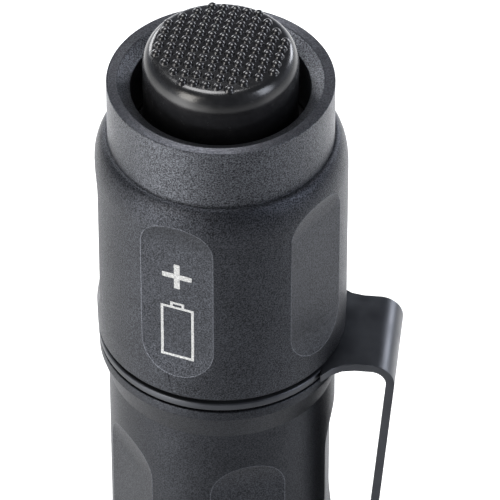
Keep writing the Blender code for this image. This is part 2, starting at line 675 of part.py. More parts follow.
def pocket_clip():
    """A spring-steel clip: a ring clamped under the cap, a tongue, a bend and a blade down the tube."""
    ring = turned("pocket_clip", washer(CAP_RADIUS - CLIP_RING_INSET, CAP_BORE, CLIP_Z, CLIP_TOP), CLIP_STEEL)
    middle = CLIP_REACH - CLIP_THICK / 2
    level = (CLIP_Z + CLIP_TOP) / 2
    root = (CAP_BORE + CAP_RADIUS) / 2
    bend_x = middle - CLIP_BEND
    path = [(root, level, CLIP_WIDTH), (bend_x, level, CLIP_WIDTH)]
    turn = math.pi / 2 + CLIP_LEAN
    for i in range(1, CLIP_BEND_STEPS + 1):
        angle = math.pi / 2 - turn * i / CLIP_BEND_STEPS
        path.append((bend_x + CLIP_BEND * math.cos(angle), level - CLIP_BEND + CLIP_BEND * math.sin(angle),
                     CLIP_WIDTH))
    x, z, _ = path[-1]
    x -= CLIP_BLADE * math.sin(CLIP_LEAN)
    z -= CLIP_BLADE * math.cos(CLIP_LEAN)
    path.append((x, z, CLIP_WIDTH))
    near = TUBE_RADIUS + CLIP_TIP_CLEAR + CLIP_THICK / 2
    path.append((near + (x - near) * 0.45, z - CLIP_DIP / 2, (CLIP_WIDTH + CLIP_TIP_WIDTH) / 2))
    path.append((near, z - CLIP_DIP, CLIP_TIP_WIDTH))
    z -= CLIP_DIP
    for i in range(1, CLIP_ROUND_STEPS + 1):
        angle = math.pi / 2 * i / (CLIP_ROUND_STEPS + 1)
        path.append((near + CLIP_TIP_RISE * (1 - math.cos(angle)), z - CLIP_TIP * math.sin(angle),
                     CLIP_TIP_WIDTH * math.cos(angle) ** 0.5))
    combine(ring, add_cutter("clip_blade", strip_mesh("clip_blade", path, CLIP_THICK)), "UNION")


def strip_mesh(name, path, thick):
    """A bent strip of sheet in the XZ plane from its middle line's points (x, z, width)."""
    bm = bmesh.new()
    rows = []
    for i, (x, z, width) in enumerate(path):
        before = path[max(i - 1, 0)]
        after = path[min(i + 1, len(path) - 1)]
        along = Vector((after[0] - before[0], 0.0, after[1] - before[1])).normalized()
        across = Vector((-along.z, 0.0, along.x)) * thick / 2
        centre = Vector((x, 0.0, z))
        side = Vector((0.0, width / 2, 0.0))
        rows.append([bm.verts.new(centre + across + side), bm.verts.new(centre + across - side),
                     bm.verts.new(centre - across - side), bm.verts.new(centre - across + side)])
    for first, second in zip(rows, rows[1:]):
        for i in range(4):
            bm.faces.new((first[i], first[(i + 1) % 4], second[(i + 1) % 4], second[i]))
    bm.faces.new(rows[0])
    bm.faces.new(rows[-1][::-1])
    bmesh.ops.recalc_face_normals(bm, faces=bm.faces)
    return bm_mesh(bm, name)


def tail_cap():
    """The cap: a raised collar round the switch well, a round shoulder, five scoops and a threaded skirt."""
    crease = RIM_Z - COLLAR_HEIGHT
    outside = [(COLLAR_RADIUS - COLLAR_EDGE, RIM_Z), (COLLAR_RADIUS, RIM_Z - COLLAR_EDGE)]
    outside += arc((COLLAR_RADIUS, crease - SHOULDER_DROP), (SHOULDER_STEP, SHOULDER_DROP), 90, 0, 7)
    outside += [(CAP_RADIUS, CAP_Z + CAP_EDGE), (CAP_RADIUS - CAP_EDGE, CAP_Z)]
    inside = [
        (CAP_BORE, CAP_Z),
        (CAP_BORE, NECK_TOP + SEAT),
        (CAP_SWITCH_BORE, NECK_TOP + SEAT),
        (CAP_SWITCH_BORE, CAP_SHELF_Z),
        (WELL_RADIUS, CAP_SHELF_Z),
        (WELL_RADIUS, RIM_Z - COUNTERSINK_DEPTH),
        (RIM_INNER, RIM_Z),
    ]
    cap = turned("tail_cap", outside + inside, ANODISED)
    length = CAP_LENGTH - CAP_SCOOP_TOP - CAP_SCOOP_FOOT
    cut_scoops(cap, "cap_scoops", CAP_RADIUS, RIM_Z - CAP_SCOOP_TOP, length, CAP_SCOOP_ANGLE)


def tail_switch():
    """The switch pack: contact, board, switch and its carrier, clamped in the cap by a threaded ring."""
    clamp = turned("switch_clamp_ring", washer(SWITCH_FIT, CLAMP_INNER, CLAMP_Z, CONTACT_TOP), BRASS, RING_STEPS)
    notches = box_mesh("clamp_notches", (CLAMP_NOTCH, 3 * SWITCH_FIT, 2 * CLAMP_NOTCH_DEPTH),
                       (0.0, 0.0, CLAMP_Z))
    combine(clamp, add_cutter("clamp_notches", notches))
    turned("tail_contact", [
        (0.0, CONTACT_TOP),
        (CONTACT_RADIUS, CONTACT_TOP),
        (CONTACT_RADIUS, CONTACT_Z + CONTACT_HEIGHT / 2),
        (CONTACT_FACE, CONTACT_Z),
        (0.0, CONTACT_Z),
    ], BRASS, SMALL_STEPS, closed=False)
    turned("switch_board", disc(SWITCH_FIT, SWITCH_BOARD_Z, SWITCH_BOARD_Z + SWITCH_BOARD_THICK),
           CIRCUIT_BOARD, RING_STEPS, closed=False)
    roof = CARRIER_TOP - CARRIER_ROOF
    turned("switch_carrier", [
        (SWITCH_FIT, CARRIER_TOP),
        (SWITCH_FIT, CARRIER_Z),
        (CARRIER_POCKET, CARRIER_Z),
        (CARRIER_POCKET, roof),
        (CARRIER_HOLE, roof),
        (CARRIER_HOLE, CARRIER_TOP),
    ], BLACK_PLASTIC, RING_STEPS)
    low = CARRIER_Z
    body = add_object("switch_body", box_mesh("switch_body", (SWITCH_SIDE, SWITCH_SIDE, SWITCH_TOP - low),
                                              (0.0, 0.0, (low + SWITCH_TOP) / 2)), CHIP_PLASTIC)
    bore = disc(SWITCH_BORE_RADIUS, SWITCH_TOP - SWITCH_BORE_DEPTH, SWITCH_TOP + SEAT)
    combine(body, turned_cutter("switch_bore", bore))
    turned("switch_plunger", [
        (0.0, PLUNGER_HEAD_Z + PLUNGER_HEAD_THICK),
        (PLUNGER_HEAD_RADIUS, PLUNGER_HEAD_Z + PLUNGER_HEAD_THICK),
        (PLUNGER_HEAD_RADIUS, PLUNGER_HEAD_Z),
        (PLUNGER_RADIUS, PLUNGER_HEAD_Z),
        (PLUNGER_RADIUS, PLUNGER_Z),
        (0.0, PLUNGER_Z),
    ], BLACK_PLASTIC, SMALL_STEPS, closed=False)
    coil("switch_return_spring", RETURN_SPRING_RADIUS, RETURN_SPRING_RADIUS, RETURN_SPRING_Z,
         PLUNGER_Z - SEAT - RETURN_SPRING_Z, RETURN_SPRING_WIRE, RETURN_SPRING_TURNS)
    turned("boot_rim", washer(SWITCH_FIT, BOOT_RIM_BORE, BOOT_RIM_Z, BOOT_RIM_TOP), BOOT_RUBBER, RING_STEPS)


def crown_height(radius):
    """The height of the button's crown at a radius inside its pimpled middle."""
    edge = BUTTON_RADIUS - CROWN_INSET
    return APEX_Z - CROWN_DROP * (radius / edge) ** 2


def tail_button():
    """The rubber button: a low crown covered in a square grid of pimples, over a round shoulder."""
    edge = BUTTON_RADIUS - CROWN_INSET
    outline = [(edge * i / 4, crown_height(edge * i / 4)) for i in range(4)]
    shoulder = APEX_Z - CROWN_DROP - ROUND_DROP
    outline += arc((edge, shoulder), (CROWN_INSET, ROUND_DROP), 90, 0, 5)
    inside = BUTTON_RADIUS - BOOT_WALL
    outline += [(BUTTON_RADIUS, BUTTON_Z), (inside, BUTTON_Z), (inside, ROOF_Z), (0.0, ROOF_Z)]
    button = turned("tail_button", outline, BOOT_RUBBER, RING_STEPS, closed=False)
    bm = bmesh.new()
    reach = int(PIMPLE_REACH / PIMPLE_PITCH) + 1
    for column in range(-reach, reach + 1):
        for row in range(-reach, reach + 1):
            spot = Matrix.Rotation(PIMPLE_TURN, 3, "Z") @ Vector((column, row, 0.0)) * PIMPLE_PITCH
            if spot.length <= PIMPLE_REACH - PIMPLE_RADIUS:
                add_pimple(bm, spot.x, spot.y, crown_height(spot.length))
    combine(button, add_cutter("pimples", bm_mesh(bm, "pimples")), "UNION")


def add_pimple(bm, x, y, skin):
    """One tapered stud, from a buried foot to a flat top."""
    rings = []
    for radius, rise in ((1.1, -PIMPLE_BURY), (0.6, PIMPLE_HEIGHT)):
        ring = []
        for i in range(PIMPLE_SIDES):
            angle = 2 * math.pi * i / PIMPLE_SIDES
            ring.append(bm.verts.new((x + PIMPLE_RADIUS * radius * math.cos(angle),
                                      y + PIMPLE_RADIUS * radius * math.sin(angle), skin + rise)))
        rings.append(ring)
    for lower, upper in zip(rings, rings[1:]):
        for i in range(PIMPLE_SIDES):
            after = (i + 1) % PIMPLE_SIDES
            bm.faces.new((lower[i], lower[after], upper[after], upper[i]))
    bm.faces.new(rings[0][::-1])
    bm.faces.new(rings[-1])


def even_shading():
    """Lets each large face keep its own shading, last of all, so that edges look crisp."""
    for obj in LAMP.objects:
        if obj.type == "MESH" and obj.modifiers:
            shading = obj.modifiers.new("shading", "WEIGHTED_NORMAL")
            shading.weight = 100


bezel()
lens_and_seal()
reflector()
lamp()
heat_sink()
head_shell()
coil("head_spring", HEAD_SPRING_RADIUS, HEAD_SPRING_TOP_RADIUS, SPRING_Z, HEAD_SPRING_LENGTH,
     HEAD_SPRING_WIRE, HEAD_SPRING_TURNS)
cell("cell_lower", LOWER_CELL_Z)
cell("cell_upper", UPPER_CELL_Z)
body_tube()
pocket_clip()
tail_cap()
tail_switch()
tail_button()
even_shading()
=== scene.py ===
# %% [markdown]
# # A pocket flashlight, standing on its bezel
#
# A slim aluminium flashlight for two cylindrical cells stands on its front ring, so that the tail
# switch is on top and the pocket clip hangs down its right side. CAD solids already hold every
# size and every moving joint. This lesson dresses those solids: each visible one is modelled again
# with the edges, threads and surface that a turned and anodised part has.

# %% Load the frame
import math

import bpy
from mathutils import Matrix, Vector


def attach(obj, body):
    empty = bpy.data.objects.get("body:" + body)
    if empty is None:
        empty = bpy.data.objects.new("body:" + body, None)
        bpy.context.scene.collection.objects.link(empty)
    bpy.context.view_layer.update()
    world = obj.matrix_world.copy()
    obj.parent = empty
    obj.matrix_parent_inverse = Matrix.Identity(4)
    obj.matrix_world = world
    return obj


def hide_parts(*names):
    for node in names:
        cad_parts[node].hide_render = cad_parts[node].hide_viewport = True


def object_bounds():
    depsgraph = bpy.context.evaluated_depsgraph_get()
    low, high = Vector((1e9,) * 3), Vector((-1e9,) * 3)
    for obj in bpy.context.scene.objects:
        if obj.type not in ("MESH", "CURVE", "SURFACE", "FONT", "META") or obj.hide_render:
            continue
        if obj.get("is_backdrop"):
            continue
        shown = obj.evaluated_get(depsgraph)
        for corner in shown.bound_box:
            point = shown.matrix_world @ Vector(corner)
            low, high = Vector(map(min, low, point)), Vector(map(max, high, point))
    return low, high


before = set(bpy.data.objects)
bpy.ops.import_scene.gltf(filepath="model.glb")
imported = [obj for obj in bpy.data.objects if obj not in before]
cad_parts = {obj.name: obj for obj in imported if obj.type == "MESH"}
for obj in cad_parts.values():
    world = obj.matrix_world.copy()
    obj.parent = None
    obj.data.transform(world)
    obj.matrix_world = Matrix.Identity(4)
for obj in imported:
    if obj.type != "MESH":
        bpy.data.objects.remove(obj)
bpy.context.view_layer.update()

MM = 0.001

# %% [markdown]
# ## The camera
#
# The photograph looks down on the tail from 42 degrees above the horizon, a little from the right.
# A long lens from far away keeps the edges of a turned part nearly parallel, and a close wide one
# would make the tail look too large. The point looked at is given from the middle of the collar's
# rim, along the picture's right and up, so that the rim lands where it does in the photograph.

# %% Place the camera
RIM_Z = 138.4
VIEW_TURN = math.radians(6.1)
VIEW_HEIGHT = math.radians(42.16)
VIEW_ROLL = -0.0004
VIEW_DISTANCE = 560.0
VIEW_LENS = 407.5
RIM_IN_PICTURE = (-2.894, 16.860)

towards = Vector((
    math.sin(VIEW_TURN) * math.cos(VIEW_HEIGHT),
    -math.cos(VIEW_TURN) * math.cos(VIEW_HEIGHT),
    math.sin(VIEW_HEIGHT),
))
level = Vector((math.cos(VIEW_TURN), math.sin(VIEW_TURN), 0.0))
upright = towards.cross(level)
right = level * math.cos(VIEW_ROLL) + upright * math.sin(VIEW_ROLL)
up = upright * math.cos(VIEW_ROLL) - level * math.sin(VIEW_ROLL)
place = Vector((0.0, 0.0, RIM_Z)) - right * RIM_IN_PICTURE[0] - up * RIM_IN_PICTURE[1]
place += towards * VIEW_DISTANCE

lens_data = bpy.data.cameras.new("photo_view")
lens_data.lens = VIEW_LENS
lens_data.sensor_width = 36.0
lens_data.clip_start = 0.05
lens_data.clip_end = 20.0
camera = bpy.data.objects.new("photo_view", lens_data)
bpy.context.scene.collection.objects.link(camera)
turned = Matrix((right, up, towards)).transposed().to_4x4()
camera.matrix_world = Matrix.Translation(place * MM) @ turned
bpy.context.scene.camera = camera
print("camera is", round(place.length / 1000, 3), "m from the bezel")

# %% [markdown]
# ## Tools for modelling
#
# Operators act on whatever is selected, and the loaded solids come in selected. So every step
# starts by picking just one object. The rest of these helpers are what a hand would do in the
# viewport: name a new primitive and apply its scale, select by place, merge what lies on top of
# each other, or add a modifier and apply it.

# %% Picking and applying
def pick(*objects):
    """Leaves object mode with only these objects selected, the last one active."""
    if bpy.context.mode != "OBJECT":
        bpy.ops.object.mode_set(mode="OBJECT")
    bpy.ops.object.select_all(action="DESELECT")
    for obj in objects:
        obj.select_set(True)
        bpy.context.view_layer.objects.active = obj


def edit(obj, kind="VERT"):
    """Opens one object in edit mode with nothing selected."""
    pick(obj)
    bpy.ops.object.mode_set(mode="EDIT")
    bpy.ops.mesh.select_mode(type=kind)
    bpy.ops.mesh.select_all(action="DESELECT")


def choose(obj, test, kind="VERT"):
    """Opens obj in edit mode with the vertices, or the faces, that pass a test."""
    edit(obj, kind)
    bpy.ops.object.mode_set(mode="OBJECT")
    for part in obj.data.polygons if kind == "FACE" else obj.data.vertices:
        part.select = test(part)
    bpy.ops.object.mode_set(mode="EDIT")


def fresh(name, scale=(1.0, 1.0, 1.0)):
    """Names and scales the primitive that was just added, and applies its place, turn and scale."""
    obj = bpy.context.object
    obj.name = obj.data.name = name
    obj.scale = scale
    bpy.ops.object.transform_apply(location=True, rotation=True, scale=True)
    return obj


def weld(distance, face_out=True):
    """In edit mode, merges vertices closer than a distance in mm and turns the faces outwards."""
    bpy.ops.mesh.select_all(action="SELECT")
    bpy.ops.mesh.remove_doubles(threshold=distance * MM)
    if face_out:
        bpy.ops.mesh.normals_make_consistent(inside=False)


def done(obj, angle=32.0):
    """Closes edit mode and shades smooth, with edges sharper than the angle kept crisp."""
    pick(obj)
    bpy.ops.object.shade_smooth_by_angle(angle=math.radians(angle))
    return obj


def settle(obj, kind, **settings):
    """Adds a modifier, sets it and applies it."""
    pick(obj)
    modifier = obj.modifiers.new(kind.lower(), kind)
    for name, value in settings.items():
        setattr(modifier, name, value)
    bpy.ops.object.modifier_apply(modifier=modifier.name)
    return obj


def combine(obj, other, operation="DIFFERENCE"):
    """Cuts other out of obj, or joins it on, and removes other."""
    settle(obj, "BOOLEAN", object=other, operation=operation, solver="EXACT",
           material_mode="TRANSFER")
    bpy.data.objects.remove(other, do_unlink=True)
    return obj


# %% [markdown]
# ## A lathe
#
# Nearly every part of a flashlight is turned. On a lathe the shape is one half-section swept round
# the axis, so it is drawn here the same way: one point, extruded from corner to corner, then spun.
# A real turned edge is never quite sharp, and that small rounding is what catches the light.
# A corner may therefore carry a radius, which the next helper turns into a short arc.

# %% Draw a half-section and spin it
def eased(corners, closed=True, steps=4):
    """Rounds the corners (r, z, radius) of a half-section. A corner with no radius stays sharp."""
    points = []
    for i, corner in enumerate(corners):
        here = Vector(corner[:2])
        ends = not closed and i in (0, len(corners) - 1)
        radius = corner[2] if len(corner) > 2 else 0.0
        if ends or radius <= 0.0:
            points.append(tuple(here))
            continue
        back = Vector(corners[i - 1][:2]) - here
        ahead = Vector(corners[(i + 1) % len(corners)][:2]) - here
        half = back.angle(ahead) / 2
        reach = min(radius / math.tan(half), 0.48 * back.length, 0.48 * ahead.length)
        start, end = here + back.normalized() * reach, here + ahead.normalized() * reach
        middle = here + (back.normalized() + ahead.normalized()).normalized() * reach / math.cos(half)
        swing = (start - middle).angle_signed(end - middle)
        for k in range(steps + 1):
            arm = (start - middle).copy()
            arm.rotate(Matrix.Rotation(-swing * k / steps, 2))
            points.append(tuple(middle + arm))
    return points


def trace(name, points):
    """Draws a line through points (r, z) in mm and stays in edit mode, with all of it selected."""
    r, z = points[0]
    pick()
    bpy.ops.mesh.primitive_plane_add(size=MM, location=(r * MM, 0.0, z * MM))
    obj = fresh(name)
    edit(obj)
    bpy.ops.mesh.select_all(action="SELECT")
    bpy.ops.mesh.merge(type="CENTER")
    for r_next, z_next in points[1:]:
        step = ((r_next - r) * MM, 0.0, (z_next - z) * MM)
        bpy.ops.mesh.extrude_region_move(TRANSFORM_OT_translate={"value": step})
        r, z = r_next, z_next
    bpy.ops.mesh.select_all(action="SELECT")
    return obj


def lathe(name, section, steps=160, closed=True):
    """A turned piece from its half-section, (r, z) points in mm."""
    obj = trace(name, section + (section[:1] if closed else []))
    bpy.ops.mesh.spin(steps=steps, angle=2 * math.pi, center=(0.0, 0.0, 0.0), axis=(0.0, 0.0, 1.0))
    weld(0.002)
    return done(obj)


corner = eased([(0, 0), (1, 0, 0.2), (1, 1)], closed=False)
print("an eased square corner:", [tuple(round(c, 2) for c in point) for point in corner])

# %% [markdown]
# ## Tools for finishes
#
# A finish is a small tree of nodes that ends in one Principled shader. Colours are written as hex,
# the way a paint chart or a picture editor gives them, and turned to the linear values that light
# is added in. Patterns are placed in Object coordinates, which are metres here, so a texture scale
# of 1 / size gives features of that size.

# %% Colour and nodes
def colour(hex_code):
    """An sRGB hex colour as linear RGBA."""
    made = []
    for i in (0, 2, 4):
        share = int(hex_code[i:i + 2], 16) / 255
        made.append(share / 12.92 if share <= 0.04045 else ((share + 0.055) / 1.055) ** 2.4)
    return (*made, 1.0)


def plug(tree, made, **sockets):
    """Fills sockets, named with underscores, each with a value or with another node's output."""
    for name, value in sockets.items():
        words = name.replace("_", " ")
        socket = made.inputs[int(words[1:])] if words[1:].isdigit() else made.inputs[words]
        if isinstance(value, bpy.types.NodeSocket):
            tree.links.new(value, socket)
        else:
            socket.default_value = value
    return made


def node(tree, kind, settings=None, **sockets):
    """Adds a node with its settings and sockets. A socket with no name of its own is _0, _1 ..."""
    made = tree.nodes.new("ShaderNode" + kind)
    for name, value in (settings or {}).items():
        setattr(made, name, value)
    return plug(tree, made, **sockets)


def new_finish(name, base, roughness, metallic=0.0, **sockets):
    """A material; returns its tree, its Principled shader and its Object coordinates."""
    made = bpy.data.materials.new(name)
    made.use_nodes = True
    made.diffuse_color = colour(base)
    tree = made.node_tree
    shader = plug(tree, tree.nodes["Principled BSDF"], Base_Color=colour(base), Roughness=roughness,
                  Metallic=metallic, **sockets)
    return tree, shader, node(tree, "TexCoord").outputs["Object"]


def dress(obj, *finishes):
    """Gives a piece its finishes, in slot order."""
    obj.data.materials.clear()
    for name in finishes:
        obj.data.materials.append(bpy.data.materials[name])
    return obj


print("mid grey, as light:", round(colour("808080")[0], 3))

# %% [markdown]
# ## Bead-blasted, hard-anodised aluminium
#
# The body was turned, blasted with fine beads and then anodised black. The beads leave thousands of
# tiny dents that each turn a speck of light another way, so the black looks like dark grey satin
# with a fine sparkle. Real dents are about 0.05 mm across. They are drawn at 0.14 mm, because
# smaller ones vanish between two pixels of the picture.
#
# The collar was blasted hardest and the tube least, so their dents differ in depth. The collar is
# also given a lighter colour, a painted highlight. The scoops are milled, so their grain is flatter,
# and the flat rim keeps the rings of the facing tool. The edges of the scoops are a touch lighter in
# colour: a painted highlight along each edge.

# %% Anodised finishes
BEAD = 1 / (0.14 * MM)
CLOUD = 1 / (4.0 * MM)


def anodised(name, dark, light, roughness, depth):
    """Black anodised aluminium; depth is how far the blasted dents tilt the surface, in mm."""
    tree, shader, spot = new_finish(name, dark, roughness, metallic=0.9)
    beads = node(tree, "TexNoise", Vector=spot, Scale=BEAD, Detail=2.0, Roughness=0.6)
    cloud = node(tree, "TexNoise", Vector=spot, Scale=CLOUD, Detail=2.0)
    spark = node(tree, "MapRange", Value=beads.outputs["Fac"], From_Min=0.38, From_Max=0.66)
    tone = node(tree, "MapRange", Value=cloud.outputs["Fac"], From_Min=0.3, From_Max=0.7, To_Max=0.12)
    share = node(tree, "Math", {"operation": "ADD", "use_clamp": True},
                 _0=spark.outputs[0], _1=tone.outputs[0])
    mix = node(tree, "Mix", {"data_type": "RGBA"}, _0=share.outputs[0], _6=colour(dark), _7=colour(light))
    rough = node(tree, "MapRange", Value=beads.outputs["Fac"], From_Min=0.3, From_Max=0.7,
                 To_Min=roughness + 0.06, To_Max=roughness - 0.06)
    bump = node(tree, "Bump", Strength=1.0, Distance=depth * MM, Height=beads.outputs["Fac"])
    plug(tree, shader, Base_Color=mix.outputs[2], Roughness=rough.outputs[0], Normal=bump.outputs["Normal"])


# The collar's deeper dents are bumps. Its lighter colours are a painted highlight on the same anodising.
anodised("collar_painted_highlight_anodised_aluminium", "121316", "56585d", 0.37, 0.055)
anodised("blasted_anodised_aluminium", "101114", "3c3e43", 0.42, 0.045)
anodised("fine_blasted_anodised_aluminium", "15161a", "333539", 0.41, 0.010)
anodised("milled_anodised_aluminium", "16171a", "3e4045", 0.41, 0.020)
anodised("faced_anodised_aluminium", "2a2b2f", "4a4b50", 0.40, 0.010)
# Lighter colours for the scoops' broken edges: a painted highlight.
anodised("painted_edge_highlight_anodised", "34363a", "585a60", 0.42, 0.010)
print("beads are", round(1 / BEAD / MM, 2), "mm across")

# %% [markdown]
# ## Rubber
#
# The tail button is moulded from black silicone. Straight from a polished mould it shines a little,
# and the many touches of a thumb leave a faint dull film, so its gloss is uneven. The seals are
# nitrile rubber, which is duller. Rubber is no metal, so its highlights are white and its base
# colour stays almost black.

# %% Rubber finishes
def rubber(name, base, worn, roughness, spread, grain):
    """Moulded rubber; spread is how far the roughness wanders, grain the size of its marks in mm."""
    tree, shader, spot = new_finish(name, base, roughness, IOR=1.45)
    film = node(tree, "TexNoise", Vector=spot, Scale=1 / (grain * MM), Detail=5.0, Roughness=0.65)
    dust = node(tree, "TexNoise", Vector=spot, Scale=1 / (0.16 * MM), Detail=1.0)
    rough = node(tree, "MapRange", Value=film.outputs["Fac"], From_Min=0.3, From_Max=0.7,
                 To_Min=roughness - spread, To_Max=roughness + spread)
    share = node(tree, "MapRange", Value=film.outputs["Fac"], From_Min=0.45, From_Max=0.75)
    mix = node(tree, "Mix", {"data_type": "RGBA"}, _0=share.outputs[0], _6=colour(base), _7=colour(worn))
    bump = node(tree, "Bump", Strength=1.0, Distance=0.004 * MM, Height=dust.outputs["Fac"])
    plug(tree, shader, Base_Color=mix.outputs[2], Roughness=rough.outputs[0], Normal=bump.outputs["Normal"])


rubber("moulded_silicone_rubber", "0e0e0f", "151516", 0.24, 0.04, 1.2)
rubber("nitrile_rubber", "121213", "1e1e1f", 0.50, 0.08, 0.6)
print("finishes so far:", len(bpy.data.materials))

# %% [markdown]
# ## Coated steel and the etched sign
#
# The clip is stamped from spring steel and coated black. The coat follows the metal's fine drawing
# lines only faintly, so it is smoother and darker than the blasted body.
#
# The sign on the cap shows which way round the cells go. A laser has burnt the black layer to a
# pale grey oxide there, as dull as chalk and a little uneven.

# %% Clip and sign finishes
tree, shader, spot = new_finish("black_coated_spring_steel", "2b2c30", 0.34, metallic=0.75)
grain = node(tree, "TexNoise", Vector=spot, Scale=1 / (0.10 * MM), Detail=2.0)
patch = node(tree, "TexNoise", Vector=spot, Scale=1 / (2.5 * MM), Detail=3.0)
tone = node(tree, "Mix", {"data_type": "RGBA"}, _0=patch.outputs["Fac"],
            _6=colour("2b2c30"), _7=colour("414347"))
rough = node(tree, "MapRange", Value=patch.outputs["Fac"], From_Min=0.3, From_Max=0.7,
             To_Min=0.28, To_Max=0.42)
bump = node(tree, "Bump", Strength=1.0, Distance=0.006 * MM, Height=grain.outputs["Fac"])
plug(tree, shader, Base_Color=tone.outputs[2], Roughness=rough.outputs[0], Normal=bump.outputs["Normal"])

tree, shader, spot = new_finish("laser_etched_oxide", "dcdddc", 0.75, IOR=1.5)
burn = node(tree, "TexNoise", Vector=spot, Scale=1 / (0.14 * MM), Detail=2.0)
share = node(tree, "MapRange", Value=burn.outputs["Fac"], From_Min=0.35, From_Max=0.65)
tone = node(tree, "Mix", {"data_type": "RGBA"}, _0=share.outputs[0],
            _6=colour("a9aaaa"), _7=colour("dcdddc"))
plug(tree, shader, Base_Color=tone.outputs[2])
print("finishes so far:", len(bpy.data.materials))

# %% [markdown]
# ## Studio
#
# The photograph has no visible floor, only white. Here the light stands on a large white disc that
# takes its shadow. A black metal thing shows its surroundings more than itself. Its upright walls
# mirror the table, because the camera looks down on them. In the photograph a wall that faces a
# little left is bright, one that faces the camera or a little right is nearly black, and one far
# right is less dark again. So in mirrors the table glows most on the left, less on the right and
# behind, and is dark in front. Near the light its own shade dims the glow, so the tube is darker
# than the collar. The camera itself sees the table evenly white. The room's wall glows likewise,
# but more faintly.

# %% Floor and sky
TABLE_GLOW = [(-180, 0.8), (-145, 0.8), (-108, 0.5), (-78, 1.5), (-46, 3.9), (-22, 1.3),
              (0, 0.12), (55, 0.12), (78, 0.9), (110, 0.5), (145, 0.9), (180, 0.8)]
WALL_GLOW = [(-180, 0.6), (-145, 1.4), (-108, 0.3), (-78, 0.5), (-45, 1.2), (-18, 0.3),
             (0, 0.05), (35, 0.05), (60, 0.4), (95, 0.4), (142, 1.4), (180, 0.6)]
SHADE_REACH = (60.0, 210.0)
FLOOR_RADIUS = 3000.0


def around(tree, direction, stops):
    """A level that changes with a direction; stops are (degrees from the camera's side, level)."""
    part = node(tree, "SeparateXYZ", Vector=direction)
    away = node(tree, "Math", {"operation": "MULTIPLY"}, _0=part.outputs["Y"], _1=-1.0)
    turn = node(tree, "Math", {"operation": "ARCTAN2"}, _0=part.outputs["X"], _1=away.outputs[0])
    share = node(tree, "MapRange", Value=turn.outputs[0], From_Min=-math.pi, From_Max=math.pi)
    ramp = node(tree, "ValToRGB", Fac=share.outputs[0])
    ramp.color_ramp.interpolation = "EASE"
    places = ramp.color_ramp.elements
    places[0].position, places[1].position = 0.0, 1.0
    for degrees, level in stops[1:-1]:
        places.new((degrees + 180) / 360)
    for place, (degrees, level) in zip(places, stops):
        place.color = (level, level, level, 1.0)
    return ramp.outputs["Color"]


pick()
bpy.ops.mesh.primitive_circle_add(vertices=96, radius=FLOOR_RADIUS * MM, fill_type="NGON")
floor = fresh("studio_floor")
floor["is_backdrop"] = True
tree, shader, spot = new_finish("white_floor", "c4c4c4", 0.9)
seen = node(tree, "LightPath").outputs
mirrored = node(tree, "Math", {"operation": "MAXIMUM"}, _0=seen["Is Glossy Ray"],
                _1=seen["Is Transmission Ray"])
distance = node(tree, "VectorMath", {"operation": "LENGTH"}, _0=spot)
shade = node(tree, "MapRange", {"interpolation_type": "SMOOTHSTEP"}, Value=distance.outputs["Value"],
             From_Min=SHADE_REACH[0] * MM, From_Max=SHADE_REACH[1] * MM, To_Min=0.05, To_Max=1.3)
table = node(tree, "Math", {"operation": "MULTIPLY"}, _0=around(tree, spot, TABLE_GLOW), _1=shade.outputs[0])
glow = node(tree, "Math", {"operation": "MULTIPLY"}, _0=mirrored.outputs[0], _1=table.outputs[0])
white = node(tree, "Math", {"operation": "MULTIPLY"}, _0=seen["Is Camera Ray"], _1=0.7)
glow = node(tree, "Math", {"operation": "ADD"}, _0=glow.outputs[0], _1=white.outputs[0])
plug(tree, shader, Emission_Color=colour("ffffff"), Emission_Strength=glow.outputs[0])
bpy.data.materials["white_floor"].cycles.emission_sampling = "NONE"
dress(floor, "white_floor")

sky = bpy.data.worlds.new("studio_sky")
sky.use_nodes = True
tree = sky.node_tree
spot = node(tree, "TexCoord").outputs["Generated"]
height = node(tree, "SeparateXYZ", Vector=spot).outputs["Z"]
fade = node(tree, "MapRange", {"interpolation_type": "SMOOTHSTEP"}, Value=height,
            From_Min=0.05, From_Max=0.5, To_Min=1.0, To_Max=0.0)
wall = node(tree, "Math", {"operation": "MULTIPLY"}, _0=fade.outputs[0], _1=around(tree, spot, WALL_GLOW))
dim = node(tree, "Math", {"operation": "ADD"}, _0=wall.outputs[0], _1=0.22)
seen = node(tree, "LightPath").outputs["Is Camera Ray"]
level = node(tree, "Mix", {"data_type": "FLOAT"}, _0=seen, _2=dim.outputs[0], _3=1.0)
tint = node(tree, "Mix", {"data_type": "RGBA"}, _0=seen, _6=colour("eaf1ff"), _7=colour("ffffff"))
plug(tree, tree.nodes["Background"], Strength=level.outputs[0], Color=tint.outputs[2])
bpy.context.scene.world = sky
bpy.context.scene.view_settings.view_transform = "Standard"
print("floor, mm across:", round(floor.dimensions.x / MM))

# %% [markdown]
# ## Lamps
#
# Two tall soft boxes stand left and right above the bright parts of the table. A wide one hangs
# overhead and a little behind, for the tops of the pimples, and two low ones far behind light the
# bevel inside the rim. An area lamp shines along its own -Z, so each is turned with that to the cap.

# %% Hang the soft boxes
AIM = Vector((0.0, 0.0, 115.0))


def soft_box(name, azimuth, elevation, distance, size, power, tint):
    """An area lamp aimed at the cap; degrees from the camera's side and up, lengths in mm, watts."""
    data = bpy.data.lights.new(name, "AREA")
    data.shape = "RECTANGLE"
    data.size, data.size_y = size[0] * MM, size[1] * MM
    data.energy = power
    data.color = colour(tint)[:3]
    lamp = bpy.data.objects.new(name, data)
    bpy.context.scene.collection.objects.link(lamp)
    turn, lift = math.radians(azimuth), math.radians(elevation)
    out = Vector((math.sin(turn) * math.cos(lift), -math.cos(turn) * math.cos(lift), math.sin(lift)))
    turned = out.to_track_quat("Z", "Y").to_matrix().to_4x4()
    lamp.matrix_world = Matrix.Translation((AIM + out * distance) * MM) @ turned


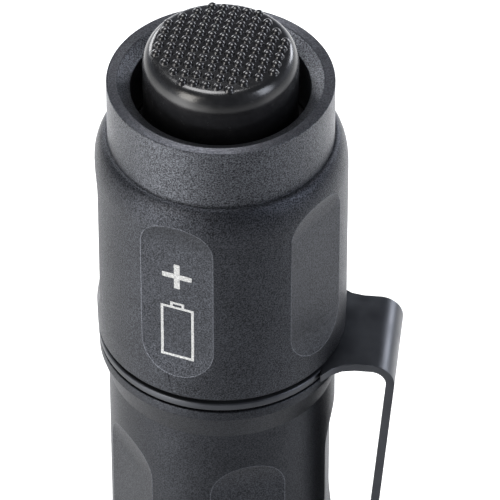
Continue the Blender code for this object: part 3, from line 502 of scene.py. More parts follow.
soft_box("left_soft_box", -40, 18, 600, (220, 360), 2.7, "fffbf4")
soft_box("right_soft_box", 72, 24, 600, (180, 320), 1.8, "eef3ff")
soft_box("top_soft_box", -120, 78, 600, (320, 320), 4.6, "ffffff")
soft_box("back_left_soft_box", -142, 16, 650, (260, 160), 1.6, "ffffff")
soft_box("back_right_soft_box", 142, 14, 650, (240, 140), 1.5, "f4f7ff")

# %% [markdown]
# ## The tail cap
#
# The cap is one turned piece: a straight collar round the switch, a round shoulder and a skirt that
# screws onto the tube. It could be a stack of cylinders, but the shoulder's curve and the eased
# edges are what the light shows, so the whole half-section is drawn and spun at once. The shoulder
# is a quarter of an ellipse. Its points are spaced by the direction of its skin and not by its
# angle, so that the tight end near the collar gets as smooth as the long one.
#
# The facing tool leaves fine rings on the flat rim. They are real grooves here, 0.018 mm deep.

# %% Turn the cap
CAP_Z = 106.3
CAP_RADIUS = 12.78
CAP_BORE = 10.75
COLLAR_RADIUS = 11.38
RIM_INNER = 10.26
WELL_RADIUS = 8.96
WELL_FLOOR = 131.6
SWITCH_BORE = 10.0
SWITCH_STEP_Z = 116.7
CREASE_Z = RIM_Z - 6.9
SHOULDER = (1.40, 3.7)
PITCH = 1.0


def elliptical(middle, radii, start, end, steps):
    """Points on an ellipse whose skin turns evenly from start to end, in degrees from +r to +z."""
    points = []
    for i in range(steps + 1):
        lean = math.radians(start + (end - start) * i / steps)
        t = math.atan2(radii[1] * math.sin(lean), radii[0] * math.cos(lean))
        points.append((middle[0] + radii[0] * math.cos(t), middle[1] + radii[1] * math.sin(t)))
    return points


def tool_rings(inner, outer, height, pitch=0.14, depth=0.018):
    """The fine rings of a facing tool, from outer to inner, as half-section points."""
    count = int((outer - inner) / pitch)
    points = []
    for i in range(count):
        r = outer - i * pitch
        points += [(r, height), (r - pitch * 0.45, height - depth), (r - pitch * 0.6, height - depth)]
    return points + [(outer - count * pitch, height)]


shoulder = elliptical((COLLAR_RADIUS, CREASE_Z - SHOULDER[1]), SHOULDER, 88.0, 0.0, 24)
cap_section = [(RIM_INNER, RIM_Z, 0.06)]
cap_section += tool_rings(RIM_INNER + 0.08, COLLAR_RADIUS - 0.14, RIM_Z)[::-1]
cap_section += [(COLLAR_RADIUS, RIM_Z, 0.12), (COLLAR_RADIUS, CREASE_Z + 0.02, 0.18)]
cap_section += shoulder
cap_section += [
    (CAP_RADIUS, CAP_Z + 3.1, 4.0),
    (CAP_RADIUS - 0.06, CAP_Z + 0.42, 0.15),
    (CAP_RADIUS - 0.36, CAP_Z, 0.1),
    (CAP_BORE + 0.35, CAP_Z, 0.1),
    (CAP_BORE, CAP_Z + 0.35, 0.1),
    (CAP_BORE, SWITCH_STEP_Z),
    (SWITCH_BORE, SWITCH_STEP_Z),
    (SWITCH_BORE, WELL_FLOOR),
    (WELL_RADIUS, WELL_FLOOR, 0.2),
    (WELL_RADIUS, RIM_Z - 0.8, 0.25),
]
cap = lathe("cap_shell", eased(cap_section), 192)
print("cap:", len(cap.data.polygons), "faces, mm:", [round(c / MM, 2) for c in cap.dimensions])

# %% [markdown]
# ## Scoops
#
# A side cutter, a disc that spins like a wheel, was pushed straight into the round wall and run
# along it. It leaves a face that is flat across, with ends that rise on the cutter's own radius,
# which gives the long pill outline. So the cutter itself is modelled: a cylinder 24 mm across,
# stretched along the way it travels. The faces that it leaves keep its finish, and the edge between
# them and the skin gets a narrow bevel of its own.

# %% Mill the scoops
CUTTER_RADIUS = 12.0
CUTTER_WIDTH = 13.0
BROKEN_EDGE = 0.05
MILLED = "milled_anodised_aluminium"
# The bevel is real; its lighter finish is a painted highlight along the edge.
EDGE = "painted_edge_highlight_anodised"


def run_out(depth):
    """How far the cutter's own radius reaches along the piece at either end of a scoop."""
    return math.sqrt(2 * CUTTER_RADIUS * depth - depth ** 2)


def side_cutter(skin, depth, low, high, angle):
    """The space that the cutter sweeps for one scoop between two heights; angle in degrees."""
    pick()
    bpy.ops.mesh.primitive_cylinder_add(vertices=256, radius=CUTTER_RADIUS * MM,
                                        depth=CUTTER_WIDTH * MM, rotation=(math.pi / 2, 0.0, 0.0))
    cutter = fresh("cutter")
    travel = (high - low) / 2 - run_out(depth)
    for side in (1, -1):
        choose(cutter, lambda v: v.co.z * side > 0)
        bpy.ops.transform.translate(value=(0.0, 0.0, side * travel * MM))
    pick(cutter)
    spot = Vector((skin - depth + CUTTER_RADIUS, 0.0, (high + low) / 2)) * MM
    cutter.matrix_world = Matrix.Rotation(math.radians(angle), 4, "Z") @ Matrix.Translation(spot)
    bpy.ops.object.transform_apply(location=True, rotation=True, scale=True)
    return dress(cutter, MILLED)


def break_edges(obj):
    """Bevels the border of the milled faces, and gives the bevel a lighter finish, a painted highlight."""
    obj.data.materials.append(bpy.data.materials[EDGE])
    slots = [m.name for m in obj.data.materials]
    edit(obj)
    weld(0.012, face_out=False)
    choose(obj, lambda p: slots[p.material_index] == MILLED, "FACE")
    bpy.ops.mesh.region_to_loop()
    bpy.ops.mesh.bevel(offset=BROKEN_EDGE * MM, segments=2, clamp_overlap=False, material=slots.index(EDGE))
    done(obj, 12.0)
    return settle(obj, "WEIGHTED_NORMAL", keep_sharp=True, weight=50)


def mill(obj, skin, depth, rows, first_angle):
    """Cuts five scoops for each row (low, high), and breaks their edges."""
    cutters = []
    for low, high in rows:
        cutters += [side_cutter(skin, depth, low, high, first_angle + 72 * i) for i in range(5)]
    pick(*cutters)
    bpy.ops.object.join()
    combine(obj, bpy.context.object)
    return break_edges(obj)


CAP_SCOOP_DEPTH = 0.60
CAP_SCOOPS = (CAP_Z + 3.0, RIM_Z - 8.85)
SIGN_ANGLE = -105.0
dress(cap, "blasted_anodised_aluminium", "faced_anodised_aluminium", "collar_painted_highlight_anodised_aluminium")
for face in cap.data.polygons:
    middle = face.center.xy.length / MM
    flat_rim = face.center.z > (RIM_Z - 0.1) * MM and RIM_INNER < middle < COLLAR_RADIUS - 0.1
    # Faces above the crease take the lighter copy of the anodised finish: a painted highlight on the collar.
    face.material_index = 1 if flat_rim else 2 if face.center.z > CREASE_Z * MM else 0
mill(cap, CAP_RADIUS, CAP_SCOOP_DEPTH, [CAP_SCOOPS], SIGN_ANGLE)
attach(cap, "cap")
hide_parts("tail_cap")
print("cap:", len(cap.data.polygons), "faces,", [m.name for m in cap.data.materials])

# %% [markdown]
# ## The rubber button
#
# The boot is one moulding: a thick round-shouldered cap with a low crown that is covered in a
# square grid of round pimples. A mould can't have a sharp inner corner where a pimple meets the
# crown, so each one stands in a small fillet. Remeshing the lot into one skin and smoothing it
# would round every foot at once, but it leaves such small domes lumpy. So one dome is turned with
# its own flared foot, like a tiny hat, and each copy stands square to the crown with its brim just
# under the skin.

# %% Turn the boot
APEX_Z = 143.0
BUTTON_RADIUS = 7.76
BUTTON_Z = 133.8
BOOT_BORE = 5.86
BOOT_CEILING = 140.65
CROWN_EDGE = 6.41
CROWN_DROP = 0.45
BOOT_SHOULDER = (1.35, 2.1)


def crown(radius):
    """The height of the crown, or of the round shoulder beside it, at a radius."""
    past = max(radius - CROWN_EDGE, 0.0) / BOOT_SHOULDER[0]
    height = APEX_Z - CROWN_DROP * (min(radius, CROWN_EDGE) / CROWN_EDGE) ** 2
    return height - BOOT_SHOULDER[1] * (1 - math.sqrt(1 - past ** 2))


boot_section = [(CROWN_EDGE * i / 6, crown(CROWN_EDGE * i / 6)) for i in range(6)]
boot_section += elliptical((CROWN_EDGE, crown(CROWN_EDGE) - BOOT_SHOULDER[1]), BOOT_SHOULDER, 82.0, 0.0, 12)
boot_section += eased([
    (BUTTON_RADIUS, 138.0),
    (BUTTON_RADIUS, BUTTON_Z, 0.3),
    (BOOT_BORE, BUTTON_Z, 0.3),
    (BOOT_BORE, BOOT_CEILING, 0.8),
    (0.0, BOOT_CEILING),
], closed=False)
boot = lathe("button_boot", boot_section, 128, closed=False)
print("boot without pimples:", len(boot.data.polygons), "faces")

# %% Stand the pimples on it
DOME_PITCH = 1.19
DOME_RADIUS = 0.53
DOME_RISE = 0.4
DOME_FOOT = [(0.518, 0.01), (0.545, -0.01), (0.58, -0.05)]
DOME_REACH = 6.5
DOME_TURN = math.radians(-8)
DOME_ROWS = range(-6, 7)

dome_section = []
for i in range(8):
    lean = math.radians(10.0 * i)
    dome_section.append((DOME_RADIUS * math.sin(lean), DOME_RISE - DOME_RADIUS * (1 - math.cos(lean))))
dome = lathe("dome", dome_section + DOME_FOOT, 28, closed=False)
domes = []
for column in DOME_ROWS:
    for row in DOME_ROWS:
        spot = Matrix.Rotation(DOME_TURN, 3, "Z") @ Vector((column, row, 0.0)) * DOME_PITCH
        reach = spot.length
        if reach > DOME_REACH:
            continue
        copy = bpy.data.objects.new("dome", dome.data.copy())
        bpy.context.scene.collection.objects.link(copy)
        slope = (crown(reach + 0.1) - crown(max(reach - 0.1, 0.0))) / 0.2
        upright = Vector((-slope * spot.x, -slope * spot.y, max(reach, 0.1))).to_track_quat("Z", "Y")
        spot.z = crown(reach)
        copy.data.transform(Matrix.Translation(spot * MM) @ upright.to_matrix().to_4x4())
        domes.append(copy)
bpy.data.objects.remove(dome, do_unlink=True)
pick(*domes, boot)
bpy.ops.object.join()
done(boot, 50.0)
dress(boot, "moulded_silicone_rubber")
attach(boot, "button")
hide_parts("tail_button")
top = max(v.co.z for v in boot.data.vertices)
print(len(domes), "pimples,", len(boot.data.polygons), "faces, top at", round(top / MM, 2), "mm")

# %% [markdown]
# ## The sign for the cells
#
# A plus and the outline of a battery stand one above the other in the scoop at the front. They are
# drawn flat first, as on paper: x runs round the cap and y up it. Each is cut into short lengths and
# then laid on the scoop, whose floor is flat for most of its height and rises at its ends. The etch
# has almost no thickness, so it stands 0.01 mm proud of the floor and is sunk into it a little.

# %% Draw the sign and lay it in the scoop
SIGN_RISE = 0.012


def scoop_floor(height):
    """How far the floor of a scoop in the cap is from the axis at a height, in mm."""
    low, high = CAP_SCOOPS
    ends = run_out(CAP_SCOOP_DEPTH)
    past = max(low + ends - height, height - (high - ends), 0.0)
    return CAP_RADIUS - CAP_SCOOP_DEPTH + CUTTER_RADIUS - math.sqrt(CUTTER_RADIUS ** 2 - past ** 2)


def sign_plate(name, width, height, middle):
    """A flat plate, x round the cap and y up it, in mm."""
    pick()
    bpy.ops.mesh.primitive_plane_add(size=1.0, location=(0.0, middle * MM, 0.0))
    return fresh(name, (width * MM, height * MM, 1.0))


def lay_in_scoop(plate, length=0.4):
    """Cuts a flat sign into short lengths, lays it on the scoop's floor and gives it a thickness."""
    edit(plate)
    low = min(v.co.y for v in plate.data.vertices) / MM
    high = max(v.co.y for v in plate.data.vertices) / MM
    for i in range(1, int((high - low) / length) + 1):
        bpy.ops.mesh.select_all(action="SELECT")
        bpy.ops.mesh.bisect(plane_co=(0.0, (low + length * i) * MM, 0.0), plane_no=(0.0, 1.0, 0.0))
    pick(plate)
    turn = Matrix.Rotation(math.radians(SIGN_ANGLE), 3, "Z")
    for vertex in plate.data.vertices:
        flat = vertex.co / MM
        vertex.co = turn @ Vector((scoop_floor(flat.y) + SIGN_RISE, flat.x, flat.y)) * MM
    edit(plate)
    weld(0.001)
    pick(plate)
    outwards = turn @ Vector((1.0, 0.0, 0.0))
    if sum(p.normal.dot(outwards) * p.area for p in plate.data.polygons) < 0:
        plate.data.flip_normals()
    settle(plate, "SOLIDIFY", thickness=0.05 * MM, offset=-1.0)
    dress(plate, "laser_etched_oxide")
    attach(plate, "cap")
    return plate


def cut_sign(name, plates, holes=()):
    """Joins flat plates, each (width, height, middle), cuts holes and leaves one flat outline."""
    sign = None
    for i, (width, height, middle) in enumerate([*plates, *holes]):
        plate = sign_plate(name, width, height, middle)
        settle(plate, "SOLIDIFY", thickness=0.2 * MM if i < len(plates) else 0.6 * MM, offset=0.0)
        sign = combine(sign, plate, "UNION" if i < len(plates) else "DIFFERENCE") if sign else plate
    choose(sign, lambda p: p.normal.z > -0.5, "FACE")
    bpy.ops.mesh.delete(type="FACE")
    choose(sign, lambda v: True)
    bpy.ops.mesh.dissolve_limited(angle_limit=math.radians(2))
    pick(sign)
    return sign


PLUS_Z = 122.35
BATTERY_Z = 114.87
NUB_Z = 118.4
plus = cut_sign("sign_plus", [(3.15, 0.62, PLUS_Z), (0.62, 3.2, PLUS_Z)])
choose(plus, lambda v: max(abs(v.co.x), abs(v.co.y - PLUS_Z * MM)) > 1.2 * MM)
bpy.ops.mesh.bevel(offset=0.1 * MM, segments=3, affect="VERTICES")
lay_in_scoop(plus)
battery = cut_sign("sign_battery", [(3.55, 6.75, BATTERY_Z), (1.5, 0.85, NUB_Z)],
                   [(2.99, 6.19, BATTERY_Z), (0.94, 0.3, NUB_Z)])
lay_in_scoop(battery)
print("sign:", plus.name, battery.name)

# %% [markdown]
# ## Threads
#
# The cap screws onto the tube's neck with a pitch of 1 mm, so each turn lifts it by 1 mm, and that
# is just how the joint of the CAD model moves it. A thread is a ridge that climbs as it goes round.
# Its section is drawn once as a small closed outline, and the Screw modifier carries it round and
# up. At both ends the ridge is pulled back into the wall, as where a real cutter leaves the metal.
# The ridge in the cap runs half a pitch above the one on the neck, so they pass without touching.

# %% Cut a thread
def thread(name, root, crest, low, high, steps=96):
    """A right-handed ridge from root to crest between two heights, sunk 0.1 mm into its wall."""
    foot = root - math.copysign(0.1, crest - root)
    section = [(foot, -0.44), (root, -0.40), (crest, -0.09), (crest, 0.09), (root, 0.40), (foot, 0.44)]
    turns = round((high - low) / PITCH)
    count = steps * turns
    obj = trace(name, [(r, low + z) for r, z in section + section[:1]])
    weld(0.002, face_out=False)
    settle(obj, "SCREW", angle=2 * math.pi * turns, screw_offset=PITCH * MM * turns, steps=count,
           render_steps=count)
    for vertex in obj.data.vertices:
        gone = turns * (vertex.index // len(section)) / count
        fade = min(gone / 0.2, (turns - gone) / 0.2, 1.0)
        radius = vertex.co.xy.length
        wanted = foot * MM + (radius - foot * MM) * fade
        vertex.co.x *= wanted / radius
        vertex.co.y *= wanted / radius
    edit(obj)
    weld(0.001)
    return done(obj, 25.0)


THREAD_FOOT = 111.1
cap_thread = thread("cap_thread", CAP_BORE, 10.28, THREAD_FOOT + 0.5, THREAD_FOOT + 4.5)
dress(cap_thread, "faced_anodised_aluminium")
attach(cap_thread, "cap")
print("thread in the cap:", len(cap_thread.data.polygons), "faces")

# %% [markdown]
# ## The battery tube
#
# The tube is turned from bar in one go: a neck with its thread and a groove for the seal, a flange
# that the clip's ring lies on, a short cone, and the grip with two rows of scoops. The same lathe
# and the same cutter make it, so this cell only has to say where everything is.

# %% Turn and mill the tube
TUBE_RADIUS = 11.68
NECK_RADIUS = 10.5
NECK_ROOT = 10.0
GROOVE_ROOT = 9.55
GROOVE_HALF = 0.8
NECK_TOP = 116.4
NECK_FOOT = 39.6
GRIP_FOOT = 47.9
TUBE_BORE = 8.9
FLANGE_RADIUS = 12.6
TAIL_SEAL_Z = CAP_Z + 1.9
HEAD_SEAL_Z = 45.4
TUBE_SCOOP_DEPTH = 0.69
TUBE_ROWS = [(76.5, 95.9), (52.6, 72.0)]
FLANGE_TOP = CAP_Z - 1.5


def seal_groove(height):
    """The half-section of an O-ring's groove in a neck, from its upper edge down."""
    top, foot = height + GROOVE_HALF, height - GROOVE_HALF
    return [(NECK_RADIUS, top, 0.08), (GROOVE_ROOT, top, 0.2),
            (GROOVE_ROOT, foot, 0.2), (NECK_RADIUS, foot, 0.08)]


tube_section = [
    (TUBE_BORE, NECK_TOP, 0.15),
    (NECK_ROOT, NECK_TOP, 0.3),
    (NECK_ROOT, THREAD_FOOT - 0.4),
    (NECK_RADIUS, THREAD_FOOT - 0.6, 0.05),
    *seal_groove(TAIL_SEAL_Z),
    (NECK_RADIUS, FLANGE_TOP, 0.1),
    (FLANGE_RADIUS, FLANGE_TOP, 0.15),
    (FLANGE_RADIUS, FLANGE_TOP - 1.1, 0.3),
    (TUBE_RADIUS, FLANGE_TOP - 4.2, 0.9),
    (TUBE_RADIUS, GRIP_FOOT, 0.3),
    (NECK_RADIUS, GRIP_FOOT, 0.1),
    *seal_groove(HEAD_SEAL_Z),
    (NECK_RADIUS, NECK_FOOT, 0.3),
    (TUBE_BORE, NECK_FOOT, 0.15),
]
tube = lathe("battery_tube", eased(tube_section), 192)
combine(tube, thread("neck_thread", NECK_ROOT, NECK_RADIUS, THREAD_FOOT, THREAD_FOOT + 5.0), "UNION")
dress(tube, "fine_blasted_anodised_aluminium", "faced_anodised_aluminium")
for face in tube.data.polygons:
    inside = face.center.xy.length < (TUBE_BORE + 0.1) * MM
    face.material_index = 1 if inside or face.center.z > FLANGE_TOP * MM else 0
mill(tube, TUBE_RADIUS, TUBE_SCOOP_DEPTH, TUBE_ROWS, 2.0)
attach(tube, "light")
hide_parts("body_tube")
print("tube:", len(tube.data.polygons), "faces")

# %% [markdown]
# ## Seals
#
# An O-ring in its groove is squeezed, so its section is not a circle any more. It is drawn as a
# square with large round corners, turned like everything else.

# %% Squeeze the O-rings
def squeezed_ring(name, node_name, body, middle, height, wide, tall):
    """An O-ring pressed between two walls; its section is wide by tall, in mm."""
    r, z, round_off = wide / 2, tall / 2, 0.42 * min(wide, tall)
    section = [(middle + r, height + z, round_off), (middle + r, height - z, round_off),
               (middle - r, height - z, round_off), (middle - r, height + z, round_off)]
    ring = lathe(name, eased(section, steps=6), 128)
    dress(ring, "nitrile_rubber")
    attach(ring, body)
    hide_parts(node_name)


squeezed_ring("cap_o_ring", "tail_seal", "cap_seal", 10.13, TAIL_SEAL_Z, 0.98, 1.06)
squeezed_ring("head_o_ring", "head_seal", "light", 10.13, HEAD_SEAL_Z, 0.98, 1.06)
squeezed_ring("lens_o_ring", "lens_seal", "light", 14.45, 2.9, 1.06, 1.06)

# %% [markdown]
# ## The pocket clip
#
# The clip is stamped from one sheet of spring steel, 0.9 mm thick: a flat ring that is trapped
# under the cap, a tongue, a bend, and a long blade that comes back to the tube near its tip. Sheet
# metal is easiest as a sheet. One edge is extruded along the bent line, scaled where the blade gets
# narrower, and only then given its thickness. A bevel breaks its edges, as tumbling does.

# %% Draw the clip's line
CLIP_THICK = 0.9
CLIP_LEVEL = CAP_Z - 0.75
CLIP_WIDTH = 10.6
CLIP_TIP_WIDTH = 7.6
RING_OUTER = 12.66
RING_INNER = 10.75
BEND_X = 15.85
BEND_RADIUS = 2.0
BLADE_LEAN = math.radians(4.5)
BLADE_LENGTH = 34.0
DIP_LENGTH = 9.0
TIP_RISE = 1.4
TIP_LENGTH = 4.5
TUBE_SIDE = TUBE_RADIUS + 0.35 + CLIP_THICK / 2

line = [(10.95, CLIP_LEVEL, 14.6), (11.9, CLIP_LEVEL, 12.4), (12.9, CLIP_LEVEL, 11.1),
        (14.2, CLIP_LEVEL, CLIP_WIDTH)]
for i in range(17):
    angle = math.pi / 2 - (math.pi / 2 + BLADE_LEAN) * i / 16
    drop = BEND_RADIUS * (1 - math.sin(angle))
    line.append((BEND_X + BEND_RADIUS * math.cos(angle), CLIP_LEVEL - drop, CLIP_WIDTH))
blade_x, blade_z = line[-1][:2]
blade_x -= BLADE_LENGTH * math.sin(BLADE_LEAN)
blade_z -= BLADE_LENGTH * math.cos(BLADE_LEAN)
line.append((blade_x, blade_z, CLIP_WIDTH))
for i in range(1, 13):
    share = i / 12
    soft = share * share * (3 - 2 * share)
    line.append((blade_x + (TUBE_SIDE - blade_x) * soft, blade_z - DIP_LENGTH * share,
                 CLIP_WIDTH + (CLIP_TIP_WIDTH - CLIP_WIDTH) * share))
for i in range(1, 13):
    angle = math.pi / 2 * i / 12.6
    line.append((TUBE_SIDE + TIP_RISE * (1 - math.cos(angle)),
                 blade_z - DIP_LENGTH - TIP_LENGTH * math.sin(angle),
                 CLIP_TIP_WIDTH * math.cos(angle) ** 0.5))

print("clip: a line of", len(line), "points, tip at", [round(c, 2) for c in line[-1][:2]])

# %% Bend the sheet along it
start_x, start_z, start_width = line[0]
pick()
bpy.ops.mesh.primitive_plane_add(size=1.0, location=((start_x - 0.05) * MM, 0.0, start_z * MM))
clip = fresh("clip_sheet", (0.1 * MM, start_width * MM, 1.0))
choose(clip, lambda v: v.co.x > start_x * MM - 1e-6)
for (x, z, width), (x_next, z_next, width_next) in zip(line, line[1:]):
    step = ((x_next - x) * MM, 0.0, (z_next - z) * MM)
    bpy.ops.mesh.extrude_region_move(TRANSFORM_OT_translate={"value": step})
    bpy.ops.transform.resize(value=(1.0, width_next / width, 1.0))
bpy.ops.mesh.select_all(action="SELECT")
bpy.ops.mesh.normals_make_consistent(inside=False)
settle(clip, "SOLIDIFY", thickness=CLIP_THICK * MM, offset=0.0, use_even_offset=True)
settle(clip, "BEVEL", width=0.14 * MM, segments=3, limit_method="ANGLE", angle_limit=math.radians(50))
top, foot = CLIP_LEVEL + CLIP_THICK / 2, CLIP_LEVEL - CLIP_THICK / 2
ring_section = [(RING_OUTER, top, 0.2), (RING_OUTER, foot, 0.2),
                (RING_INNER, foot, 0.1), (RING_INNER, top, 0.1)]
combine(clip, lathe("clip_ring", eased(ring_section), 160), "UNION")
done(clip, 30.0)
settle(clip, "WEIGHTED_NORMAL", keep_sharp=True, weight=50)
dress(clip, "black_coated_spring_steel")
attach(clip, "clip")
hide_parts("pocket_clip")
print("clip:", len(clip.data.polygons), "faces")

# %% [markdown]
# ## The head
#
# The photograph stops halfway down the tube, so the head is a usual one for such a light: a bell
# round the lens, a flare, four cooling grooves where the lamp sits, and a socket for the tube. The
# bezel screws in at the front. Its five shallow scallops let light out when it stands face down,
# which shows at a glance that it has been left on.

# %% Turn the head
HEAD_TOP = 47.6
HEAD_FOOT = 8.3
HEAD_RADIUS = 17.8
FLARE = (15.3, 24.3)
FINS = 4
FIN_PITCH = 2.8
FIN_RADIUS = 14.15
FIN_ROOT = 12.95
FINS_TOP = FLARE[1] + FIN_PITCH * FINS
SOCKET_BORE = 10.75
SOCKET_RADIUS = 12.68
TUBE_STOP = (38.4, 39.3)
TUBE_STOP_BORE = 9.9
LAMP_BORE = 11.65
BEZEL_BORE = 16.65
BEZEL_BORE_TOP = 13.8

head_section = [(SOCKET_BORE, HEAD_TOP, 0.1), (SOCKET_RADIUS, HEAD_TOP, 0.6)]
head_section += [(SOCKET_RADIUS, FINS_TOP + FIN_RADIUS - SOCKET_RADIUS, 1.0), (FIN_RADIUS, FINS_TOP, 0.2)]
for i in range(FINS, 0, -1):
    land = FLARE[1] + FIN_PITCH * (i - 0.5)
    foot = land - FIN_PITCH / 2
    head_section += [(FIN_RADIUS, land, 0.2), (FIN_ROOT, land, 0.25)]
    head_section += [(FIN_ROOT, foot, 0.25), (FIN_RADIUS, foot, 0.2)]
for i in range(1, 25):
    share = i / 24
    radius = FIN_RADIUS + (HEAD_RADIUS - FIN_RADIUS) * (1 - math.cos(math.pi * share)) / 2
    head_section.append((radius, FLARE[1] - (FLARE[1] - FLARE[0]) * share))
head_section += [
    (HEAD_RADIUS, HEAD_FOOT, 0.25),
    (BEZEL_BORE, HEAD_FOOT, 0.1),
    (BEZEL_BORE, BEZEL_BORE_TOP),
    (15.6, BEZEL_BORE_TOP),
    (LAMP_BORE, FLARE[1]),
    (LAMP_BORE, TUBE_STOP[0]),
    (TUBE_STOP_BORE, TUBE_STOP[0]),
    (TUBE_STOP_BORE, TUBE_STOP[1]),
    (SOCKET_BORE, TUBE_STOP[1]),
]
head = lathe("head_body", eased(head_section), 192)
settle(head, "WEIGHTED_NORMAL", keep_sharp=True, weight=50)
dress(head, "blasted_anodised_aluminium")
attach(head, "light")
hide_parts("head_shell")
print("head:", len(head.data.polygons), "faces")

# %% Turn the bezel and cut its scallops
BEZEL_RADIUS = 18.3
BEZEL_STEP = 8.0
STEM_RADIUS = 16.4
STEM_BORE = 15.1
STEM_TOP = 13.5
WINDOW_RADIUS = 13.8
WINDOW_CHAMFER = 0.9
SEAT_Z = 2.2
SCALLOP_RADIUS = 7.0
SCALLOP_DEPTH = 1.1

bezel_section = [
    (STEM_RADIUS, STEM_TOP, 0.2),
    (STEM_RADIUS, BEZEL_STEP, 0.1),
    (HEAD_RADIUS - 0.1, BEZEL_STEP, 0.1),
    (BEZEL_RADIUS, BEZEL_STEP - 0.5, 0.25),
    (BEZEL_RADIUS, 0.0, 0.75),
    (WINDOW_RADIUS + WINDOW_CHAMFER, 0.0, 0.15),
    (WINDOW_RADIUS, WINDOW_CHAMFER, 0.15),
    (WINDOW_RADIUS, SEAT_Z, 0.1),
    (STEM_BORE, SEAT_Z),
    (STEM_BORE, STEM_TOP, 0.2),
]
bezel = lathe("bezel_crown", eased(bezel_section), 192)
dress(bezel, "blasted_anodised_aluminium")
spot = Vector((BEZEL_RADIUS, 0.0, SCALLOP_DEPTH - SCALLOP_RADIUS)) * MM
cutters = []
for i in range(5):
    pick()
    bpy.ops.mesh.primitive_cylinder_add(vertices=160, radius=SCALLOP_RADIUS * MM, depth=BEZEL_RADIUS * MM,
                                        location=spot, rotation=(0.0, math.pi / 2, 0.0))
    cutter = fresh("scallop_cutter")
    cutter.data.transform(Matrix.Rotation(math.radians(36 + 72 * i), 4, "Z"))
    cutters.append(dress(cutter, MILLED))
pick(*cutters)
bpy.ops.object.join()
combine(bezel, bpy.context.object)
break_edges(bezel)
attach(bezel, "light")
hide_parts("bezel_ring")
print("bezel:", len(bezel.data.polygons), "faces")

# %% [markdown]
# ## Glass, mirror and lamp
#
# The lens is a flat disc of hardened glass with ground edges. Behind it a deep parabolic bowl, its
# inside coated with aluminium, throws the light of a lamp that sits near its focus. A parabola is
# r squared over four times the focal length, so the bowl is just that curve, spun.

# %% Lens and reflector finishes
tree, shader, spot = new_finish("coated_mineral_glass", "f4f7fb", 0.02, IOR=1.52, Transmission_Weight=1.0,
                                Coat_Weight=0.4, Coat_Roughness=0.02, Coat_Tint=colour("c9c4ff"))
smear = node(tree, "TexNoise", Vector=spot, Scale=1 / (5.0 * MM), Detail=3.0)
rough = node(tree, "MapRange", Value=smear.outputs["Fac"], From_Min=0.4, From_Max=0.7,
             To_Min=0.01, To_Max=0.05)
plug(tree, shader, Roughness=rough.outputs[0])

tree, shader, spot = new_finish("aluminised_mirror", "e9eaec", 0.06, metallic=1.0)
wave = node(tree, "TexNoise", Vector=spot, Scale=1 / (1.6 * MM), Detail=1.0)
rough = node(tree, "MapRange", Value=wave.outputs["Fac"], From_Min=0.3, From_Max=0.7,
             To_Min=0.04, To_Max=0.09)
bump = node(tree, "Bump", Strength=1.0, Distance=0.004 * MM, Height=wave.outputs["Fac"])
plug(tree, shader, Roughness=rough.outputs[0], Normal=bump.outputs["Normal"])
print("finishes so far:", len(bpy.data.materials))

# %% Spin the lens
LENS_RADIUS = 14.85
LENS_FACES = (3.6, 5.6)
lens_section = [(0.0, LENS_FACES[1]), (LENS_RADIUS, LENS_FACES[1], 0.25),
                (LENS_RADIUS, LENS_FACES[0], 0.25), (0.0, LENS_FACES[0])]
lens = lathe("lens_disc", eased(lens_section, closed=False), 128, closed=False)
dress(lens, "coated_mineral_glass")
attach(lens, "light")
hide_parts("lens")
print("lens:", round(LENS_FACES[1] - LENS_FACES[0], 2), "mm thick,", len(lens.data.polygons), "faces")

# %% Spin the bowl
FOCUS = 2.5
BOWL = (5.9, 21.7)
BOWL_WALL = 1.0
BOWL_FLANGE = 7.1
VERTEX = 22.9


def bowl_height(radius):
    """The height of the mirror at a radius: a parabola that opens downwards."""
    return VERTEX - radius * radius / (4 * FOCUS)


narrow = math.sqrt(4 * FOCUS * (VERTEX - BOWL[1]))
wide = math.sqrt(4 * FOCUS * (VERTEX - BOWL[0]))
curve = [narrow + (wide - narrow) * i / 40 for i in range(41)]
bowl_section = [(r + BOWL_WALL, bowl_height(r)) for r in curve if bowl_height(r) > BOWL_FLANGE + 1.0]
bowl_section += [(wide + BOWL_WALL / 2, BOWL_FLANGE), (LENS_RADIUS, BOWL_FLANGE), (LENS_RADIUS, BOWL[0])]
bowl_section += [(r, bowl_height(r)) for r in curve[::-1]]
bowl = lathe("reflector_bowl", bowl_section, 128)
dress(bowl, "aluminised_mirror")
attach(bowl, "light")
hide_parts("reflector")
print("bowl:", round(2 * wide, 1), "mm wide, focus", FOCUS, "mm")

# %% [markdown]
# ## Turned metal, boards and plastic
#
# What is inside is seen only when the cap is off or the part is taken to pieces. It gets honest
# finishes all the same. Bare turned metal shows the fine spiral of the tool: rings on its end faces
# and bands on its walls. Boards are glass cloth under a coloured lacquer, with copper under it that
# stands a little proud. Moulded plastic has a fine grain.

# %% Inner finishes
TOOL_MARK = 0.2


def turned_metal(name, base, bright, roughness):
    """Bare metal from the lathe, with its tool marks."""
    tree, shader, spot = new_finish(name, base, roughness, metallic=1.0)
    fine = 1 / (TOOL_MARK * MM) / 3.2
    rings = node(tree, "TexWave", {"wave_type": "RINGS", "rings_direction": "Z"}, Vector=spot,
                 Scale=fine, Distortion=0.3)
    bands = node(tree, "TexWave", {"wave_type": "BANDS", "bands_direction": "Z"}, Vector=spot,
                 Scale=fine, Distortion=0.3)
    marks = node(tree, "Math", {"operation": "ADD"}, _0=rings.outputs["Fac"], _1=bands.outputs["Fac"])
    stain = node(tree, "TexNoise", Vector=spot, Scale=1 / (3.0 * MM), Detail=3.0)
    tone = node(tree, "Mix", {"data_type": "RGBA"}, _0=stain.outputs["Fac"],
                _6=colour(base), _7=colour(bright))
    bump = node(tree, "Bump", Strength=1.0, Distance=0.006 * MM, Height=marks.outputs[0])
    plug(tree, shader, Base_Color=tone.outputs[2], Normal=bump.outputs["Normal"])


